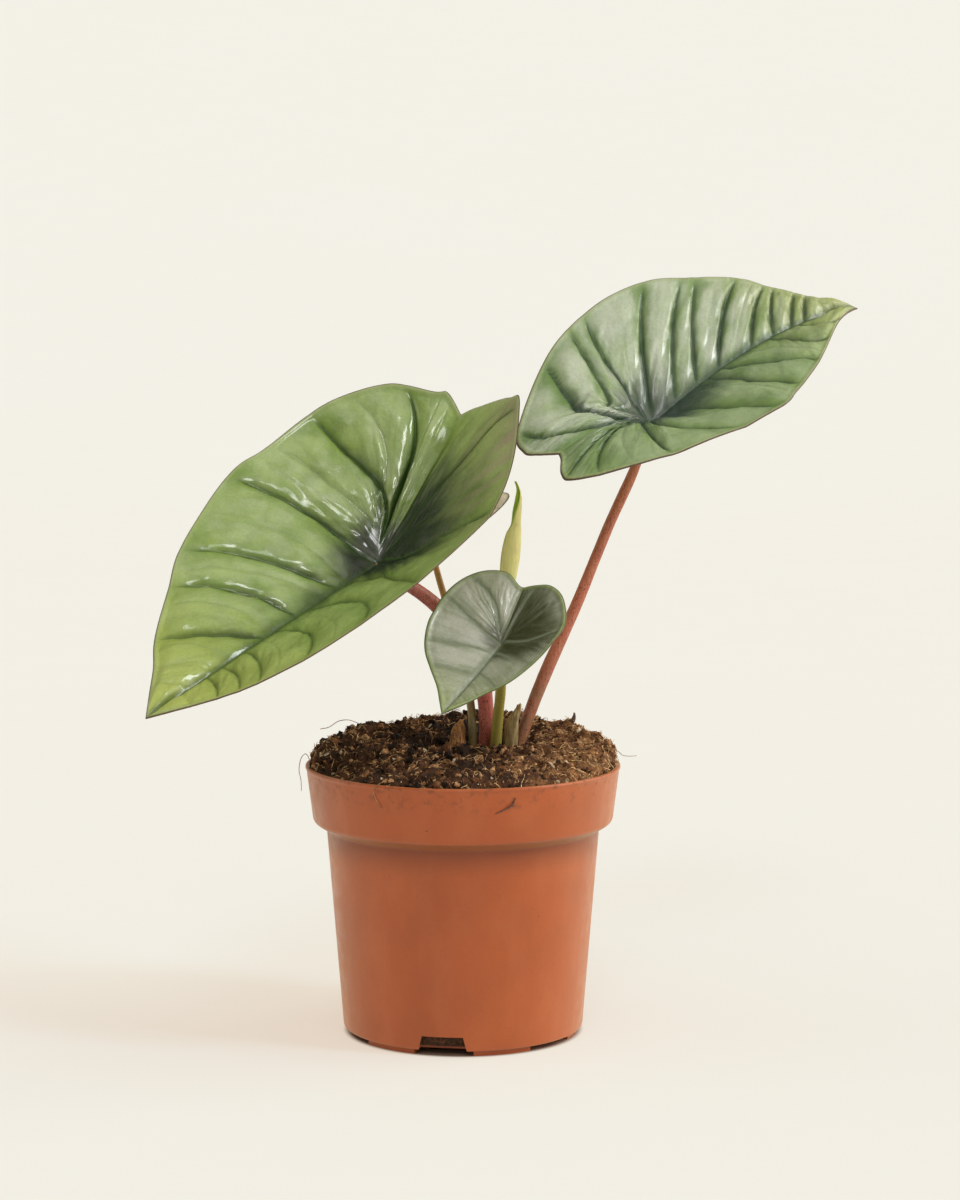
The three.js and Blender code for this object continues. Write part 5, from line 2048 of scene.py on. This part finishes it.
@dataclass(frozen=True)
class Peat:
    """The peat: a mound over the rim, strewn with crumbs, fibres and pale grains.

    Attributes:
        edge_height: Height of its edge.
        dome: Height of its dome over the edge.
        radius: Radius of the rim's inside.
        forms: Centre, size and height of each hill and hollow.
        layers: Height above and below their middle, width and seed of its clumps and finer crumbs.
        side: Radius and height of its side under the surface, from the top down.
        around: Points round the surface.
        rings: Points from its middle to its edge.
    """

    edge_height: float = 103.6
    dome: float = 7.6
    radius: float = 58.4
    forms: tuple[tuple[Pair, Pair, float], ...] = (
        ((12, 36), (44, 17), 7.4), ((48, 8), (14, 24), 4.6), ((-42, 12), (22, 24), 4.6),
        ((8, 1), (15, 8), -4.4), ((-10, -4), (7, 5), -5), ((-48, -30), (12, 12), -4.6),
        ((55, -6), (7, 13), 2.4),
    )
    layers: tuple[Triple, ...] = ((1.7, 5.2, 0), (1.6, 2.9, 5), (0.9, 1.4, 8))
    side: tuple[Pair, ...] = ((55.5, 82.5), (50.4, 79.3), (44.2, 3.8))
    around: int = 190
    rings: int = 62

    def height(self, x: Array, y: Array) -> Array:
        """Height of the surface, with clumps and crumbs.

        Args:
            x: Places to the right.
            y: Places to the back.

        Returns:
            Heights in millimetres.
        """
        share = np.clip(np.hypot(x, y) / self.radius, 0, 1)
        height = self.edge_height + self.dome * (1 - share * share) ** 0.6
        for (right, back), (wide, deep), rise in self.forms:
            height = height + rise * np.exp(-((x - right) / wide) ** 2 - ((y - back) / deep) ** 2)
        for rise, width, seed in self.layers:
            height = height + rise * lumps(x / width, y / width, seed)
        return height

    def surface(self) -> tuple[Array, Array]:
        """Points of the surface.

        Returns:
            The middle point, and a grid of angles and rings.
        """
        reach = self.radius - 0.45
        share = np.sqrt(np.linspace(0, 1, self.rings + 1)[1:]) ** 1.25
        angle = np.linspace(0, math.tau, self.around, endpoint=False)
        turn, out = np.meshgrid(angle, share * reach, indexing="ij")
        x, y = out * np.sin(turn), -out * np.cos(turn)
        middle = np.array([[0.0, 0.0, float(self.height(np.array(0.0), np.array(0.0)))]])
        return middle, np.stack([x, y, self.height(x, y)], -1)

    def body(self) -> Mesh:
        """The whole peat, closed below.

        Returns:
            The mesh.
        """
        middle, top = self.surface()
        angle = np.linspace(0, math.tau, self.around, endpoint=False)[:, None]
        radius, height = np.array(self.side).T
        wall = np.stack([radius * np.sin(angle), -radius * np.cos(angle), height + 0 * angle], -1)
        grid = np.concatenate([top, wall], 1)
        points = np.vstack([grid.reshape(-1, 3), middle, [[0, 0, self.side[-1][1]]]])
        return Mesh(points, outward(points, turned_faces(self.around, grid.shape[1])))

    def host(self) -> Piece:
        """The bare surface and the step at its edge, for what is strewn on it.

        Returns:
            The object.
        """
        _, top = self.surface()
        skirt = top[:, -1:] * (1, 1, 0) + (0, 0, self.edge_height - 1.0)
        grid = np.concatenate([top, skirt], 1)
        faces = [*map(tuple, grid_faces(self.around, grid.shape[1], closed=True)[:, ::-1].tolist())]
        return Mesh(grid.reshape(-1, 3), faces).build("peat host", [])

    def build(self) -> None:
        """Builds and dresses the peat and what lies on it."""
        body_skin = PeatSkin("damp peat", "#1d120a", "#4a2e1b", "#7d5634", toned=False)
        crumb_skin = PeatSkin("peat crumbs", "#1c110a", "#70492d", "#a5805a", toned=True)
        fibre_skin = PeatSkin("peat fibres", "#462b1a", "#93693f", "#d0ad7c", toned=True)
        crumbs, fibres = crumb_tree(), fibre_tree()
        whole = self.body().build("peat_mound", [body_skin.build()])
        small = crumbs.grow(self.host(), "peat_crumbs", {
            "Density": 148000.0, "Least": 0.35 * MM, "Greatest": 1.5 * MM, "Seed": 5,
            "Finish": crumb_skin.build(),
        })
        strands = fibres.grow(self.host(), "peat_fibres", {
            "Density": 280000.0, "Length": 4.0 * MM, "Girth": 0.085 * MM, "Curl": 5.0 * MM, "Seed": 9,
            "Finish": fibre_skin.build(),
        })
        grains = crumbs.grow(self.host(), "peat_grains", {
            "Density": 6000.0, "Least": 0.3 * MM, "Greatest": 1.2 * MM, "Seed": 14,
            "Finish": MineralSkin().build(),
        })
        present(whole, "peat", "soil")
        for piece in (small, strands, grains):
            piece.data.set_sharp_from_angle(angle=math.radians(CRUMB_EDGE))
            present(piece, "peat")


@dataclass(frozen=True)
class Strand:
    """A hair, root or twig placed one by one.

    Attributes:
        corners: Its corners.
        radii: Radii at even steps along it.
    """

    corners: tuple[Triple, ...]
    radii: tuple[float, ...] = (0.14, 0.14, 0.1)


@dataclass(frozen=True)
class Litter:
    """Hairs and a twig that stand out of the peat, and root bits that cling to the pot.

    Attributes:
        hairs: Fine hairs.
        roots: Darker root bits and the twig.
    """

    hairs: tuple[Strand, ...] = (
        Strand((
            (-54.6, 4, 115.6), (-51.3, 4, 116.3), (-47.6, 4, 118.6), (-43.9, 4, 119.1), (-40.7, 4, 118.1),
            (-38.3, 4, 116.8), (-36.6, 4, 114.6),
        )),
        Strand((
            (-58.2, -6, 105.5), (-59.6, -6, 107.6), (-61.2, -6, 106.2), (-62.2, -6, 101.5),
            (-61.5, -6, 97.5), (-61.3, -6, 93.3),
        )),
        Strand((
            (-27.6, -49.5, 104.6), (-29.5, -52.2, 104.2), (-31.6, -51.3, 102.6), (-32.4, -50.4, 100.4),
            (-31.7, -50.4, 98.1), (-30.8, -50.7, 96.6), (-29.3, -51.2, 94.4),
        )),
        Strand(((55.2, 2, 108.4), (59.2, 2, 107.3), (61, 2, 105.8), (64.1, 2, 105.4), (66.3, 2, 105.6))),
    )
    roots: tuple[Strand, ...] = (
        Strand(
            ((42.4, 26, 108.5), (42.9, 26, 112.3), (42.1, 26, 114.5), (43, 26, 116.4), (43.2, 26, 118.8)),
            (1.0, 0.8, 0.75, 0.85, 0.35),
        ),
        Strand(
            ((19.6, -56.3, 99), (17.4, -56.8, 96.1), (15.2, -57.1, 94.9), (12.1, -57.7, 93.6)),
            (0.16, 0.3, 0.22, 0.1),
        ),
        Strand(((17.6, -56.7, 96.3), (19.6, -56.2, 96.3), (21.2, -55.5, 96)), (0.2, 0.16, 0.08)),
    )

    def build(self, tree: Tree) -> None:
        """Sweeps and dresses the litter.

        Args:
            tree: The tree that sweeps stalks along lines.
        """
        hair = PaperSkin("root hair", "#b59468", "#7d5c3c", "#4c3522", 0.4, 0.05)
        root = PaperSkin("dry root", "#6e5340", "#3c2a1f", "#2a1c14", 0.5, 0.3)
        kinds = (("litter_hairs", self.hairs, hair, 0.1), ("litter_roots", self.roots, root, 0.7))
        for name, strands, skin, uneven in kinds:
            lines = [route(strand.corners, 36) for strand in strands]
            host = lines_host(name, lines, [np.array(strand.radii) for strand in strands])
            piece = tree.grow(host, name, {
                "Sides": 8, "Unevenness": uneven * MM, "Fineness": 500.0, "Seed": 2, "Finish": skin.build(),
            })
            present(piece, "peat")


# Studio


@dataclass(frozen=True)
class Sun:
    """A soft disc of light far away.

    Attributes:
        name: Its name.
        toward: The way from the plant to it.
        strength: Its light on a face turned to it, in watts for each square metre.
        width: How many degrees wide it looks.
        colour: Its colour.
    """

    name: str
    toward: Triple
    strength: float
    width: float
    colour: str

    def build(self) -> None:
        """Hangs the light."""
        data = bpy.data.lights.new(self.name, "SUN")
        data.energy = self.strength
        data.angle = math.radians(self.width)
        data.color = paint(self.colour)[:3]
        x, y, z = self.toward
        turn = (math.atan2(math.hypot(x, y), z), 0, math.atan2(y, x) + math.pi / 2)
        stand(self.name, data).rotation_euler = turn


@dataclass(frozen=True)
class Studio:
    """The pale sweep, the lights and the camera.

    Attributes:
        eye: The camera's place in metres.
        pitch: Degrees that it looks down.
        lens: Its focal length for a 36 mm long side.
        suns: The main light, what shines in the leaves from above, and soft light from the sides.
        ambient: Brightness of the light from all sides.
    """

    eye: Triple = (0.0065, -1.2, 0.296)
    pitch: float = 6.2
    lens: float = 95.46
    suns: tuple[Sun, ...] = (
        Sun("main light", (0.765, -0.265, 0.588), 1.15, 14.0, "#eef6ff"),
        Sun("window above", (-0.03, -0.74, 0.67), 0.46, 14.0, "#ffffff"),
        Sun("glow above", (-0.05, -0.3, 0.95), 0.55, 56.0, "#fffaf3"),
        Sun("right wall", (0.93, 0.1, 0.3), 2.35, 60.0, "#fff0dd"),
        Sun("left wall", (-0.93, 0.1, 0.3), 0.45, 50.0, "#fff4e6"),
        Sun("front fill", (0.0, -0.86, 0.5), 0.35, 70.0, "#fff6ea"),
    )
    ambient: float = 0.42

    def sweep(self) -> None:
        """Lays a floor that rises gently into a backdrop, well behind the plant."""
        half, bend, radius, length = 28000.0, 2300.0, 3000.0, 3000.0
        slope = math.radians(16)
        turn = np.linspace(0, slope, 16)
        arc = np.stack([bend + radius * np.sin(turn), radius - radius * np.cos(turn)], 1)
        end = arc[-1] + length * np.array([math.cos(slope), math.sin(slope)])
        line = np.vstack([[-half, 0], arc, [end]])
        points = np.array([(x, y, z) for x in (-half, half) for y, z in line])
        faces = [tuple(face) for face in grid_faces(2, len(line))[:, ::-1].tolist()]
        Mesh(points, faces).build("studio_sweep", [StudioPaper().build()])

    def build(self) -> None:
        """Sets up the sweep, the lights, the surroundings and the camera."""
        self.sweep()
        for sun in self.suns:
            sun.build()
        scene = bpy.context.scene
        world = bpy.data.worlds.new("studio surroundings")
        world.use_nodes = True
        sky = world.node_tree.nodes["Background"]
        sky.inputs["Color"].default_value = paint("#fff5e9")
        sky.inputs["Strength"].default_value = self.ambient
        scene.world = world
        scene.view_settings.view_transform = "Standard"
        data = bpy.data.cameras.new("camera")
        data.lens = self.lens
        data.sensor_width = 36.0
        data.clip_start, data.clip_end = 0.05, 30.0
        camera = stand("camera", data)
        camera.location = self.eye
        camera.rotation_euler = (math.radians(90 - self.pitch), 0, 0)
        scene.camera = camera


BARK = PaperSkin("rhizome bark", "#8a6a48", "#5c4230", "#3a281d", 0.9, 0.4)


def main() -> None:
    """Builds every piece in order."""
    logging.basicConfig(level=logging.INFO, format="%(name)s: %(message)s")
    Studio().build()
    Pot().build()
    Peat().build()
    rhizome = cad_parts["rhizome"]
    rhizome.data.materials.clear()
    rhizome.data.materials.append(BARK.build())
    tree = stalk_tree()
    for stalk in stalks():
        stalk.build(tree)
    for blade in (LEFT_BLADE, RIGHT_BLADE, SMALL_BLADE, BACK_BLADE):
        blade.build()
    RolledLeaf().build()
    Sheath().build()
    Litter().build(tree)
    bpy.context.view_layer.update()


if __name__ == "__main__":
    main()
